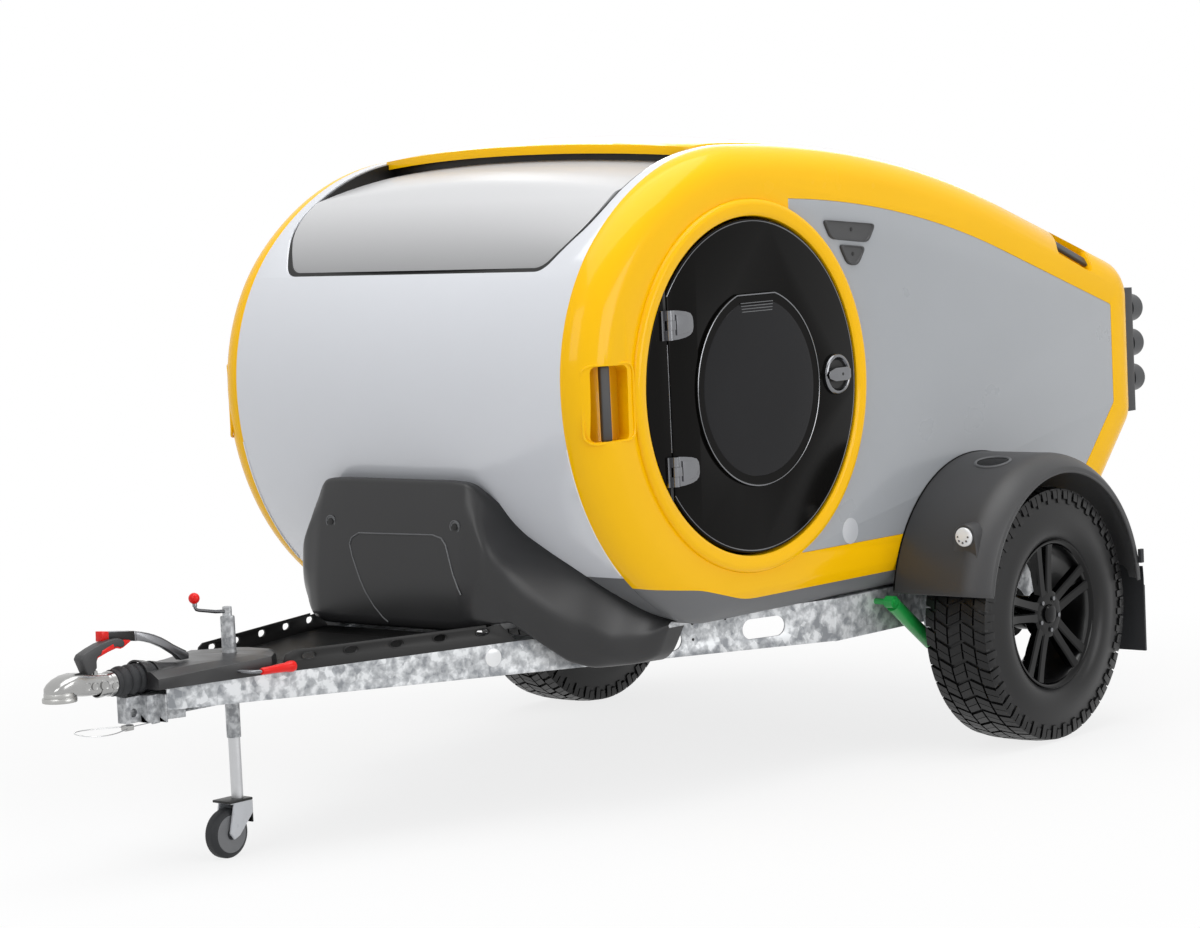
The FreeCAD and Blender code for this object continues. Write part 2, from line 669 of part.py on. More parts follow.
lock = fuse("lock", rod("lock_rose", "Y", "lock_radius", 12, ("lock_x", "door_face_y", "lock_z")),
            rod("lock_boss", "Y", "lock_radius - 14", 20, ("lock_x", "door_face_y", "lock_z")),
            box("lock_paddle", ("lock_x - 11", "door_face_y", "lock_z - lock_radius + 12"),
                (22, 32, "2 * lock_radius - 24")))
straps = []
pins = []
for where in ("upper", "lower"):
    centre_z = f"hinge_{where}_z"
    knuckle_z = centre_z + " - hinge_height / 2"
    third = "hinge_height / 3"
    strap = box(f"strap_{where}", ("hinge_x - 75", "door_face_y", knuckle_z), (59, 7, "hinge_height"))
    middle_z = knuckle_z + " + hinge_height / 3 + 1"
    barrel = rod(f"barrel_{where}", "Z", "knuckle_radius", third + " - 2", ("hinge_x", "hinge_y", middle_z))
    web = box(f"web_{where}", ("hinge_x - 20", "door_face_y", middle_z), (20, 11, third + " - 2"))
    bore = rod(f"bore_{where}", "Z", "pin_radius + run_gap", "hinge_height", ("hinge_x", "hinge_y", knuckle_z))
    straps.append(cut(f"hinge_{where}", fuse(f"hinge_{where}_solid", strap, barrel, web), bore))
    plate = box(f"plate_{where}", ("hinge_x + 13", "door_face_y", knuckle_z), (13, 6, "hinge_height"))
    ears = []
    for end, offset in (("low", "0"), ("high", "2 * hinge_height / 3")):
        ear_z = f"{knuckle_z} + {offset}"
        ears.append(rod(f"ear_{where}_{end}", "Z", "knuckle_radius", third, ("hinge_x", "hinge_y", ear_z)))
        ears.append(box(f"foot_{where}_{end}", ("hinge_x", "door_face_y", ear_z), (14, 11, third)))
    pin = rod(f"pin_{where}", "Z", "pin_radius", "hinge_height", ("hinge_x", "hinge_y", knuckle_z))
    pins.append(fuse(f"hinge_pin_{where}", plate, pin, *ears))
hardware = doc.addObject("Part::Compound", "door_hardware")
hardware.Links = [lock] + straps
pair("door_hardware", hardware)
both("hinge_pins", *pins)

# ---------------------------------------------------------------- rear hatch

def hatch_pivot():
    """Hinge line just above the crowned roof at the hatch's front edge."""
    plumb = Part.makeLine(Vector(S.hatch_x, 0, S.nose_z), Vector(S.hatch_x, 0, FAR))
    section = outline(0, S.roof_crown).Wires[0].section(plumb)
    top = max(vertex.Point.z for vertex in section.Vertexes)
    return top + S.knuckle_radius - 2


HATCH_PIVOT_Z = hatch_pivot()
print("hatch pivot", round(HATCH_PIVOT_Z, 2))
hatch = domed(outline(0, S.roof_crown).cut(outline(S.wall, S.roof_crown)), S.frame_y)
hatch = hatch.common(slab((-FAR, -S.hatch_half, S.hatch_low_z), (hatch_edge_x, S.hatch_half, FAR)))
HATCH_HINGES = (-360, 360)
HATCH_KNUCKLE = 60
fixed_knuckles = []
for hinge_y in HATCH_HINGES:
    for side in (-1, 1):
        start = hinge_y + side * HATCH_KNUCKLE / 2
        low_y, high_y = sorted((start + side, start + side * 21))
        ear = along_y(S.knuckle_radius, S.hatch_x, HATCH_PIVOT_Z, low_y, high_y)
        foot = slab((S.hatch_x - 2, low_y, HATCH_PIVOT_Z - 25), (S.hatch_x + 44, high_y, HATCH_PIVOT_Z - 2))
        fixed_knuckles.append(ear.fuse(foot))
    barrel = along_y(S.knuckle_radius, S.hatch_x, HATCH_PIVOT_Z,
                     hinge_y - HATCH_KNUCKLE / 2, hinge_y + HATCH_KNUCKLE / 2)
    foot = slab((S.hatch_x - 46, hinge_y - HATCH_KNUCKLE / 2, HATCH_PIVOT_Z - 40),
                (S.hatch_x - 4, hinge_y + HATCH_KNUCKLE / 2, HATCH_PIVOT_Z))
    foot = foot.cut(slab((S.hatch_x - 5.9, -FAR, 0), (FAR, FAR, HATCH_PIVOT_Z - S.knuckle_radius + 1)))
    hatch = hatch.fuse(barrel.fuse(foot))
    hatch = hatch.cut(along_y(S.pin_radius + S.run_gap, S.hatch_x, HATCH_PIVOT_Z, hinge_y - 60, hinge_y + 60))
node("rear_hatch", solid("rear_hatch", hatch.removeSplitter()))
hatch_hinges = []
for i, hinge_y in enumerate(HATCH_HINGES):
    pin = along_y(S.pin_radius, S.hatch_x, HATCH_PIVOT_Z, hinge_y - 51, hinge_y + 51)
    hinge = fixed_knuckles[2 * i].fuse([fixed_knuckles[2 * i + 1], pin]).cut(roof)
    hatch_hinges.append(solid(f"hatch_hinge_{i}", hinge.removeSplitter()))
node("hatch_hinges", *hatch_hinges)
# ---------------------------------------------------------------- chassis


def rail_y(x):
    """Outer face of a drawbar rail at a place along the trailer."""
    share = (x - S.rail_front_x) / (S.rail_rear_x - S.rail_front_x)
    return S.rail_front_y + share * (S.rail_rear_y - S.rail_front_y)


RAIL_SLOPE = (S.rail_rear_y - S.rail_front_y) / (S.rail_rear_x - S.rail_front_x)
RAIL_TURN = math.degrees(math.atan(-RAIL_SLOPE))
RAIL_STRETCH = math.hypot(1, RAIL_SLOPE)


def channel(low_points, turn_x, turn_y, turn):
    """A C-section, open inwards: its web drawn in the side view, then turned about a vertical line."""
    (x0, z0), (x1, z1) = low_points
    top = S.body_base
    skin = face_of(((x0, z0), (x1, z1), (x1, top), (x0, top))).extrude(Vector(0, -S.rail_flange, 0))
    hollow = face_of(((x0 - 1, z0 + S.steel), (x1 + 1, z1 + S.steel),
                      (x1 + 1, top - S.steel), (x0 - 1, top - S.steel)))
    hollow = hollow.extrude(Vector(0, -S.rail_flange, 0))
    hollow.translate(Vector(0, -S.steel, 0))
    made = skin.cut(hollow)
    made.translate(Vector(turn_x, turn_y, 0))
    made.rotate(Vector(turn_x, turn_y, 0), Vector(0, 0, 1), turn)
    return made


def slot(x, z, length, height, depth=60):
    """A long round-ended hole through a web, at a place on the side view."""
    half = (length - height) / 2
    middle = Part.makeBox(2 * half, depth, height, Vector(x - half, -depth / 2, z - height / 2))
    for end in (-half, half):
        middle = middle.fuse(along_y(height / 2, x + end, z, -depth / 2, depth / 2))
    return middle


RAIL_SLOTS = ((0.713, 433, 148, 57), (0.881, 435, 148, 57))  # share of the rail's length, height, length, width
rail_length = (S.rail_front_x - S.rail_rear_x) * RAIL_STRETCH
rail_shape = channel(((-rail_length - 60, S.rail_rear_z), (0, S.rail_front_z)),
                     S.rail_front_x, S.rail_front_y, -RAIL_TURN)
for share, slot_z, length, height in RAIL_SLOTS:
    hole = slot(-share * rail_length, slot_z, length, height)
    hole.translate(Vector(S.rail_front_x, S.rail_front_y, 0))
    hole.rotate(Vector(S.rail_front_x, S.rail_front_y, 0), Vector(0, 0, 1), -RAIL_TURN)
    rail_shape = rail_shape.cut(hole)
rail_shape = trim_x(rail_shape, S.rail_rear_x, FAR)
pair("drawbar_rail", solid("drawbar_rail", rail_shape))

member = channel(((S.member_rear_x, S.rail_rear_z), (S.rail_rear_x, S.rail_rear_z)), 0, S.rail_rear_y, 0)
both("side_members", solid("side_member", member))

CROSS_MEMBERS = (("front", 540, 60), ("middle", 0, 60), ("rear", -1500, 60))  # name, place, length along X


def cross_member(x, depth):
    """A flat tube between the webs, its ends cut to their slant."""
    inner = [(rail_y(place_x) if place_x > S.rail_rear_x else S.rail_rear_y) - S.steel * RAIL_STRETCH
             for place_x in (x, x + depth)]
    if x < S.rail_rear_x:
        inner = [S.rail_rear_y - S.steel] * 2
    plan = ((x, inner[0]), (x + depth, inner[1]), (x + depth, -inner[1]), (x, -inner[0]))
    return face_of(plan, "XY", S.body_base - 2 * S.steel - 40).extrude(Vector(0, 0, 40))


node("cross_members", *(solid(f"cross_{name}", cross_member(x, depth)) for name, x, depth in CROSS_MEMBERS))

BEAM_RISE = 20   # underside of the axle beam above the side members' lower flanges
beam_x = "axle_x + arm_reach - beam_side / 2"
beam_low = f"rail_rear_z + {BEAM_RISE}"
beam_half = "(rail_rear_y - steel)"
beam = cut("beam", box("beam_outside", (beam_x, f"-{beam_half}", beam_low),
                       ("beam_side", f"2 * {beam_half}", "beam_side")),
           box("beam_inside", (beam_x + " + beam_wall", f"-{beam_half} - 1", beam_low + " + beam_wall"),
               ("beam_side - 2 * beam_wall", f"2 * {beam_half} + 2", "beam_side - 2 * beam_wall")))
node("axle_beam", beam)

ARM_ENDS = (S.axle_x + S.arm_reach, S.rail_rear_z + BEAM_RISE + S.beam_side / 2)
SHOCK_TOP = (S.axle_x + 440, S.body_base - 32)
SHOCK_LOW = (S.axle_x + 150, 240)


def link(ends, radii, low_y, high_y):
    """A flat arm between two round bosses."""
    (x0, z0), (x1, z1) = ends
    length = math.hypot(x1 - x0, z1 - z0)
    side = ((z1 - z0) / length, -(x1 - x0) / length)
    corners = [(x + sign * side[0] * radius, z + sign * side[1] * radius)
               for sign, order in ((1, (0, 1)), (-1, (1, 0)))
               for x, z, radius in [((x0, z0, radii[0]), (x1, z1, radii[1]))[k] for k in order]]
    made = across(face_of(corners), low_y, high_y)
    for (x, z), radius in zip(ends, radii):
        made = made.fuse(along_y(radius, x, z, low_y, high_y))
    return made


arm_y = (S.rail_rear_y, S.rail_rear_y + S.arm_width)
arm = link((ARM_ENDS, (S.axle_x, S.tyre_radius)), (S.beam_side / 2, 34), *arm_y)
arm = arm.fuse(link((ARM_ENDS, SHOCK_LOW), (S.beam_side / 2, 20), *arm_y))
arm = arm.fuse(along_y(S.stub_radius, S.axle_x, S.tyre_radius, S.rail_rear_y, S.wheel_y + 40))
both("swing_arms", solid("swing_arm", arm.removeSplitter()))


def shock_absorber():
    """Damper body and rod between two eyes, with the pins that hold the eyes."""
    low = Vector(SHOCK_LOW[0], S.shock_y, SHOCK_LOW[1])
    high = Vector(SHOCK_TOP[0], S.shock_y, SHOCK_TOP[1])
    run = (high - low).normalize()
    length = (high - low).Length
    made = Part.makeCylinder(S.shock_radius, length * 0.62, low + run * (length * 0.34), run)
    made = made.fuse(Part.makeCylinder(9, length, low, run))
    made = made.fuse(along_y(18, *SHOCK_LOW, S.shock_y - 14, S.shock_y + 14))
    made = made.fuse(along_y(18, *SHOCK_TOP, S.shock_y - 14, S.shock_y + 14))
    made = made.fuse(along_y(9, *SHOCK_LOW, arm_y[1], S.shock_y + 20))
    return made.fuse(along_y(9, *SHOCK_TOP, S.rail_rear_y, S.shock_y + 20)).removeSplitter()


both("shock_absorbers", solid("shock_absorber", shock_absorber()))

# ---------------------------------------------------------------- wheels


def tyre_section():
    """Half section of the tyre: radius from the wheel axis, place across it."""
    tread = "tyre_width / 2 - 14"
    return [
        ("rim_radius - 7.7", "-tyre_width / 2 + 14.5"), ("rim_radius + 0.3", "-tyre_width / 2 + 13.3"),
        ("rim_radius + 30", "-tyre_width / 2 + 2"),
        ("(rim_radius + tyre_radius) / 2 + 6", "-tyre_width / 2"), ("tyre_radius - 34", "-tyre_width / 2 + 5"),
        ("tyre_radius - 8", f"-({tread})"), ("tyre_radius", "-tyre_width / 2 + 34"),
        ("tyre_radius", "tyre_width / 2 - 34"), ("tyre_radius - 8", tread),
        ("tyre_radius - 34", "tyre_width / 2 - 5"), ("(rim_radius + tyre_radius) / 2 + 6", "tyre_width / 2"),
        ("rim_radius + 30", "tyre_width / 2 - 2"), ("rim_radius + 0.3", "tyre_width / 2 - 13.3"),
        ("rim_radius - 7.7", "tyre_width / 2 - 14.5"),
    ]


wheel_at = ("axle_x", "wheel_y", "tyre_radius")
pair("tyre", lathe("tyre", tyre_section(), "Y", wheel_at))

BARREL_BASE = "rim_radius - 17"
BARREL_BORE = "rim_radius - 17 - rim_wall"
BARREL = [
    ("rim_radius - 8", "-tyre_width / 2 + 14"), ("rim_radius", "-tyre_width / 2 + 13"),
    ("rim_radius", "-tyre_width / 2 + 9"), (BARREL_BORE, "-tyre_width / 2 + 9"),
    (BARREL_BORE, "tyre_width / 2 - 9"), ("rim_radius", "tyre_width / 2 - 9"),
    ("rim_radius", "tyre_width / 2 - 13"), ("rim_radius - 8", "tyre_width / 2 - 14"),
    (BARREL_BASE, "tyre_width / 2 - 30"), (BARREL_BASE, "-tyre_width / 2 + 30"),
]
SPOKE_FACE = 92      # outer face of the spokes from the middle of the tyre
SPOKE_PAIRS = 5
SPOKE_SPREAD = 22    # half angle of a pair, degrees


def wheel_face():
    """Hub, and pairs of spokes that spread towards the rim, about the wheel's own axis."""
    hub_back = -60
    made = Part.makeCylinder(S.hub_radius, SPOKE_FACE - 14 - hub_back, Vector(0, 0, hub_back))
    reach = S.rim_radius - 16
    for number in range(SPOKE_PAIRS):
        for side in (-1, 1):
            spread = math.radians(SPOKE_SPREAD)
            foot, tip = 13, 11
            end = Vector(reach * math.cos(spread) + 4, side * reach * math.sin(spread), 0)
            start = Vector(S.hub_radius - 14, side * 20, 0)
            across_it = Vector(-(end - start).y, (end - start).x, 0).normalize()
            corners = [start + across_it * foot, end + across_it * tip,
                       end - across_it * tip, start - across_it * foot]
            spoke = Part.Face(Part.makePolygon(corners + corners[:1])).extrude(Vector(0, 0, S.spoke_depth))
            spoke.translate(Vector(0, 0, SPOKE_FACE - S.spoke_depth))
            spoke.rotate(Vector(), Vector(0, 0, 1), 90 + 360 * number / SPOKE_PAIRS)
            made = made.fuse(spoke)
    made = made.fuse(Part.makeCylinder(S.drum_radius, 70, Vector(0, 0, hub_back - 118)))
    made = made.fuse(Part.makeCylinder(S.hub_radius + 18, 130, Vector(0, 0, hub_back - 118)))
    barrel_ring = Part.makeCylinder(S.rim_radius + 20, 400, Vector(0, 0, -200))
    barrel_ring = barrel_ring.cut(Part.makeCylinder(S.rim_radius - 17, 400, Vector(0, 0, -200)))
    return made.cut(barrel_ring).cut(Part.makeCylinder(S.stub_radius + S.run_gap, 400, Vector(0, 0, -300)))


spokes = solid("wheel_face", wheel_face())
place(spokes, wheel_at, ALONG["Y"])
pair("wheel", fuse("wheel_whole", lathe("rim_barrel", BARREL, "Y", wheel_at), spokes))

# ---------------------------------------------------------------- mudguards

ARCH_FRONT = 9       # the mudguard's front and rear ends, degrees up from the horizontal
ARCH_REAR = 3
arch_x = S.axle_x - S.arch_back


def arch_section(wall):
    """Half section of the mudguard's outer side, from the body to the lip, set in by a distance."""
    crown = S.arch_radius - wall
    edge_y = S.arch_outer_y - S.arch_round_y
    lip = (S.arch_lip_radius, S.arch_outer_y - wall)
    drop = S.arch_radius - S.arch_lip_radius
    bend = (S.arch_radius - drop / 4 - wall * 0.8, edge_y + 0.68 * S.arch_round_y - wall * 0.7)
    turn = (S.arch_radius - drop * 5 / 7, S.arch_outer_y - wall)
    return (crown, S.side_y), (crown, edge_y), bend, turn, lip


def mudguard():
    """Sheet swept round the wheel: flat across the top, rounded into an outer face with a round opening."""
    def at(point):
        return Vector(arch_x + point[0], point[1], S.arch_z)
    edges = []
    for wall in (0, S.arch_wall):
        inner, edge, bend, turn, lip = arch_section(wall)
        edges += [Part.makeLine(at(inner), at(edge)), Part.Arc(at(edge), at(bend), at(turn)).toShape(),
                  Part.makeLine(at(turn), at(lip))]
    first, second = arch_section(0), arch_section(S.arch_wall)
    edges += [Part.makeLine(at(first[0]), at(second[0])), Part.makeLine(at(first[-1]), at(second[-1]))]
    section = Part.Face(Part.Wire(Part.__sortEdges__(edges)))
    centre = Vector(arch_x, 0, S.arch_z)
    section.rotate(centre, Vector(0, 1, 0), -ARCH_FRONT)
    return section.revolve(centre, Vector(0, 1, 0), -(180 - ARCH_FRONT - ARCH_REAR))


fender_left, _ = pair("mudguard", solid("mudguard", mudguard()))
guard_bore = along_y(S.arch_radius - S.arch_wall, arch_x, S.arch_z)
flap = slab((arch_x - S.arch_radius + 2, S.side_y + 60, S.flap_low_z),
            (arch_x - S.arch_radius + 10, S.arch_outer_y - 10, S.arch_z + 70))
flap = flap.common(guard_bore.fuse(slab((-FAR, 0, 0), (FAR, FAR, S.arch_z))))
both("mud_flaps", solid("mud_flap", flap.cut(mudguard())))



def on_arch(radius, degrees):
    """A place on the mudguard in the side view, about the middle of its arch."""
    angle = math.radians(degrees)
    return arch_x + radius * math.cos(angle), S.arch_z + radius * math.sin(angle)


MARKER_RADIUS = 31   # round marker lamp on the front of the mudguard
MARKER_LENGTH = 60
MARKER_FACING = Vector(0.94, 0.1, 0.34)
marker_x, marker_z = on_arch(S.arch_radius - 38, 33.8)
marker = Part.makeCylinder(MARKER_RADIUS, MARKER_LENGTH,
                           Vector(marker_x, S.wheel_y + 29, marker_z), MARKER_FACING)
outside_guard = Part.makeCylinder(2 * S.arch_radius, 400, Vector(arch_x, S.side_y, S.arch_z), Vector(0, 1, 0))
marker = max(marker.common(outside_guard).cut(mudguard()).Solids, key=lambda lens: lens.CenterOfMass.x)
SIDE_MARKER = (9, 23, 12)   # half width, half height, depth
side_x, side_z = on_arch(S.arch_lip_radius + 23, 166.6)
side_marker = slab((side_x - SIDE_MARKER[0], S.arch_outer_y, side_z - SIDE_MARKER[1]),
                   (side_x + SIDE_MARKER[0], S.arch_outer_y + SIDE_MARKER[2], side_z + SIDE_MARKER[1]))
both("marker_lamps", solid("front_marker", marker), solid("side_marker", side_marker))

# ---------------------------------------------------------------- lamps, vents and grab bars

PANEL_Y = (568, 686)
PANEL_Z = (901, 1296)
lamp_panel = slab((S.rear_x - S.lamp_panel, PANEL_Y[0], PANEL_Z[0]), (S.rear_x + 60, PANEL_Y[1], PANEL_Z[1]))
uprights = [e for e in lamp_panel.Edges if e.BoundBox.XMax < S.rear_x and e.BoundBox.ZLength > 50]
lamp_panel = lamp_panel.makeFillet(14, uprights)
both("lamp_panels", solid("lamp_panel", lamp_panel.cut(BODY)))
lamps = []
for number in range(3):
    seat = Vector(S.rear_x - S.lamp_panel, S.lamp_y, S.lamp_top_z - number * S.lamp_pitch)
    lamp = Part.makeCylinder(S.lamp_radius, S.lamp_depth, seat, Vector(-1, 0, 0))
    lamp = lamp.makeFillet(16, [max(lamp.Edges, key=lambda edge: -edge.BoundBox.XMax)])
    lamps.append(solid(f"lamp_{number}", lamp))
both("rear_lamps", *lamps)

VENTS = (
    ((43.2, 127.5), (208.8, 144.4), (148.8, 146.2), (22.3, 134.0)),
    ((38.6, 138.1), (130.2, 146.3), (68.7, 148.5), (30.2, 145.2)),
)  # corners: distance beyond the door surround, degrees round the door's centre
VENT_PROUD = 9


def beyond_ring(distance, degrees):
    return P2.on_circle((S.door_x, S.door_z), S.door_radius + S.ring_width + distance, degrees)


vents = []
for number, corners in enumerate(VENTS):
    vent = face_of([beyond_ring(*corner) for corner in corners], "XZ", S.side_y).extrude(Vector(0, VENT_PROUD, 0))
    vents.append(solid(f"vent_{number}", vent))
both("side_vents", *vents)


def grab_bar(name, middle, along, facing, length, height, depth):
    """Flat bar across a grab recess, its face a little below the mouth."""
    width, thickness = GRAB_BAR
    bar = Part.makeBox(length, width, thickness, Vector(-length / 2, -width / 2, -GRAB_BAR_SINK - thickness))
    bar.Placement = grab_frame(middle, along, facing)
    return bar


both("grab_bars", *(solid(f"grab_bar_{grab[0]}", grab_bar(*grab)) for grab in GRABS))
# ---------------------------------------------------------------- front console and cargo tray

# stations of the console: place across, then corners from the wheel axis in the side view, going round
# (top inner, top outer, shoulder, knee, bottom front, bottom rear)
CONSOLE = (
    (0, ((1560, 932), (1747, 932), (1772, 803), (1798, 610), (1795, 522), (1500, 500))),
    (270, ((1560, 926), (1745, 926), (1772, 803), (1798, 610), (1795, 522), (1500, 500))),
    (305, ((1560, 884), (1735, 884), (1768, 800), (1795, 610), (1792, 526), (1500, 500))),
    (365, ((1500, 775), (1618, 775), (1752, 730), (1765, 640), (1740, 548), (1480, 548))),
    (389, ((1460, 752), (1603, 752), (1744, 692), (1735, 600), (1690, 515), (1590, 500))),
    (424, ((1420, 720), (1576, 720), (1684, 614), (1672, 540), (1610, 455), (1470, 430))),
    (455, ((1400, 690), (1554, 690), (1640, 566), (1615, 490), (1560, 415), (1362, 405))),
    (490, ((1370, 652), (1514, 652), (1563, 520), (1540, 450), (1500, 397), (1300, 393))),
    (541, ((1300, 584), (1432, 584), (1490, 480), (1470, 430), (1420, 400), (1280, 395))),
    (571, ((1250, 534), (1348, 534), (1400, 480), (1385, 440), (1350, 410), (1270, 415))),
    (612, ((1240, 506), (1314, 507), (1322, 500), (1324, 495), (1322, 490), (1250, 490))),
)


def console():
    made = None
    for (low_y, low), (high_y, high) in zip(CONSOLE, CONSOLE[1:]):
        wires = []
        for y, corners in ((low_y, low), (high_y, high)):
            points = [Vector(S.axle_x + x, y, z) for x, z in corners]
            wires.append(Part.makePolygon(points + points[:1]))
        piece = Part.makeLoft(wires, True, True)
        made = piece if made is None else made.fuse(piece)
    return made.removeSplitter()


def rail_space(grow):
    """The room that the left rail takes up, filled in."""
    low = S.rail_rear_z - 1
    block = face_of(((-rail_length, low), (60, low), (60, S.body_base), (-rail_length, S.body_base)))
    block = block.extrude(Vector(0, -S.rail_flange - 2 * grow, 0))
    block.translate(Vector(S.rail_front_x, S.rail_front_y + grow, 0))
    block.rotate(Vector(S.rail_front_x, S.rail_front_y + grow, 0), Vector(0, 0, 1), -RAIL_TURN)
    return block


console_left = console().cut(BODY).cut(rail_space(1)).cut(slab((-FAR, -1, 0), (FAR, 0, FAR)))
console_whole = console_left.fuse(console_left.mirror(Vector(), Vector(0, 1, 0))).removeSplitter()
node("front_console", solid("front_console", console_whole))

TRAY_SLOTS = (0.107, 0.284, 0.479, 0.668, 0.856)   # shares of the tray's length
TRAY_SLOT = (38, 18)


def tray_upstand():
    """Side plate of the tray, flush with the rail's outer face."""
    start = (S.rail_front_x - S.tray_front_x) * RAIL_STRETCH
    length = (S.tray_front_x - S.tray_rear_x) * RAIL_STRETCH
    top = S.body_base + S.tray_height
    back = -start - length
    corners = ((back, S.body_base), (-start, S.body_base), (-start, top - 30), (-start - 9, top - 9),
               (-start - 30, top), (back + 48, top), (back, S.body_base + 5))
    plate = face_of(corners).extrude(Vector(0, -S.tray_plate, 0))
    for share in TRAY_SLOTS:
        plate = plate.cut(slot(-start - share * length, S.body_base + 36, *TRAY_SLOT))
    plate.translate(Vector(S.rail_front_x, S.rail_front_y, 0))
    plate.rotate(Vector(S.rail_front_x, S.rail_front_y, 0), Vector(0, 0, 1), -RAIL_TURN)
    return plate


upstand = tray_upstand()
TRAY_REST = (820, S.cover_rear_x - 4)   # the part of the floor that stands clear of the console and the cover
TRAY_JOGGLE = 1


def tray_sheet(back, front, top):
    """The tray's floor between two places, as wide as the rails allow."""
    wide, narrow = rail_y(back) - 0.5, rail_y(front) - 0.5
    plan = ((back, wide), (front, narrow), (front, -narrow), (back, -wide))
    return face_of(plan, "XY", S.body_base).extrude(Vector(0, 0, top - S.body_base))


tray_top = S.body_base + S.tray_plate
tray = tray_sheet(*TRAY_REST, tray_top)
tray = tray.fuse([tray_sheet(S.tray_rear_x, S.tray_front_x, tray_top - TRAY_JOGGLE), upstand,
                  upstand.mirror(Vector(), Vector(0, 1, 0))])
tray = tray.cut(console_whole)
node("cargo_tray", solid("cargo_tray", tray))
# ---------------------------------------------------------------- coupling and drawbar


def between_rails(front, back, low, high):
    """A block that fills the room between the rails' flanges."""
    plan = []
    for x in (back, front):
        plan.append((x, rail_y(x) - S.rail_flange * RAIL_STRETCH))
    plan += [(x, -y) for x, y in reversed(plan)]
    return face_of(plan, "XY", low).extrude(Vector(0, 0, high - low))


BRACKET_REAR = S.rail_front_x - 80
BRACKET_LOW = S.rail_front_z - 30
BRACKET_TOP = S.shaft_z - S.bellows_radius - 1
EYE_X = S.rail_front_x - 9
LUG_X = (S.rail_front_x + 44, S.rail_front_x + 90)   # cast lug under the bellows
END_PLATE = 6
bracket = between_rails(S.rail_front_x, BRACKET_REAR, BRACKET_LOW, BRACKET_TOP)
bracket = bracket.fuse([
    slab((S.rail_front_x, -S.rail_front_y, BRACKET_LOW),
         (S.rail_front_x + END_PLATE, S.rail_front_y, BRACKET_TOP)),
    slab((S.rail_front_x, -46, BRACKET_LOW + 2), (LUG_X[0], 46, BRACKET_TOP)),
    slab((LUG_X[0], -18, BRACKET_LOW + 4), (LUG_X[1], 18, BRACKET_TOP)),
])
bracket = bracket.cut(along_y(11, LUG_X[1] - 24, BRACKET_LOW + 30, -30, 30))
EYE_Z = BRACKET_LOW - 5
eye = Part.makeCylinder(7, 24, Vector(EYE_X - 24, 0, EYE_Z), Vector(1, 0, 0))
bracket = bracket.fuse(eye).removeSplitter()
node("nose_bracket", solid("nose_bracket", bracket))

BRAKE_ROD_Z = S.rail_front_z - 28
BRAKE_ROD_Y = -26
BRAKE_ROD_RADIUS = 4
beam_front = S.axle_x + S.arm_reach + S.beam_side / 2
COMPENSATOR = (10, 12, 14)   # thickness, half width, reach below the rod
compensator = slab((beam_front, BRAKE_ROD_Y - COMPENSATOR[1], BRAKE_ROD_Z - COMPENSATOR[2]),
                   (beam_front + COMPENSATOR[0], BRAKE_ROD_Y + COMPENSATOR[1], BRAKE_ROD_Z + 10))
rod_start = beam_front + COMPENSATOR[0]
brake_rod = Part.makeCylinder(BRAKE_ROD_RADIUS, BRACKET_REAR - rod_start,
                              Vector(rod_start, BRAKE_ROD_Y, BRAKE_ROD_Z), Vector(1, 0, 0))
node("brake_rod", solid("brake_rod", brake_rod.fuse(compensator)))

COVER_FRONT = S.rail_front_x + 36
HOOD_BACK = S.rail_front_x - 99
COVER_JOCKEY_GAP = 0.3
BELLOWS_ROOM = 3
# stations of the drawbar cover: place, half width at the rails, height of the side, half width of the top, height
COVER = (
    (S.cover_rear_x, 24, 20, 10, 34),
    (S.cover_rear_x + 38, 60, 34, 40, 44),
    (S.cover_rear_x + 83, 104, 42, 74, S.cover_top_z - S.body_base),
    (S.jockey_x - 5, 155, 44, 100, S.cover_top_z - S.body_base),
    (S.jockey_x + 90, 134, 39, 86, S.cover_top_z - S.body_base),
    (COVER_FRONT, 86, 27, 56, 44),
)


def drawbar_cover():
    """Bevelled hood over the rails' front ends, arched over the bellows and bored for the jockey wheel's tube."""
    made = Part.makeCone(S.cover_top_z - S.shaft_z, S.bellows_radius + 8, COVER_FRONT - HOOD_BACK,
                         Vector(HOOD_BACK, 0, S.shaft_z), Vector(1, 0, 0))
    wires = []
    for x, low_half, side, top_half, top in COVER:
        half = [(low_half, 0), (low_half - 2, side), (top_half, top)]
        corners = [Vector(x, y, S.body_base + up) for y, up in half + [(-y, up) for y, up in reversed(half)]]
        wires.append(Part.makePolygon(corners + corners[:1]))
    for first, second in zip(wires, wires[1:]):
        made = made.fuse(Part.makeLoft([first, second], True, True))
    made = made.cut(slab((-FAR, -FAR, 0), (FAR, FAR, S.body_base))).cut(tray)
    made = made.cut(Part.makeCylinder(S.shaft_radius, 200, Vector(SHAFT_START, 0, S.shaft_z), Vector(1, 0, 0)))
    made = made.cut(Part.makeCylinder(S.bellows_radius + BELLOWS_ROOM, 200, Vector(BELLOWS_REAR, 0, S.shaft_z),
                                      Vector(1, 0, 0)))
    return made.cut(Part.makeCylinder(S.jockey_tube_radius + COVER_JOCKEY_GAP, 200,
                                      Vector(S.jockey_x, 0, S.body_base - 50))).removeSplitter()


SHAFT_START = S.rail_front_x - 59
BELLOWS_REAR = S.bellows_front_x - S.bellows_length
node("drawbar_cover", solid("drawbar_cover", drawbar_cover()))

SHAFT_END = S.bellows_front_x + 40
shaft = rod("shaft", "X", "shaft_radius", SHAFT_END - SHAFT_START, (SHAFT_START, 0, "shaft_z"))
node("drawbar_shaft", shaft)

BELLOWS_FOLDS = 4


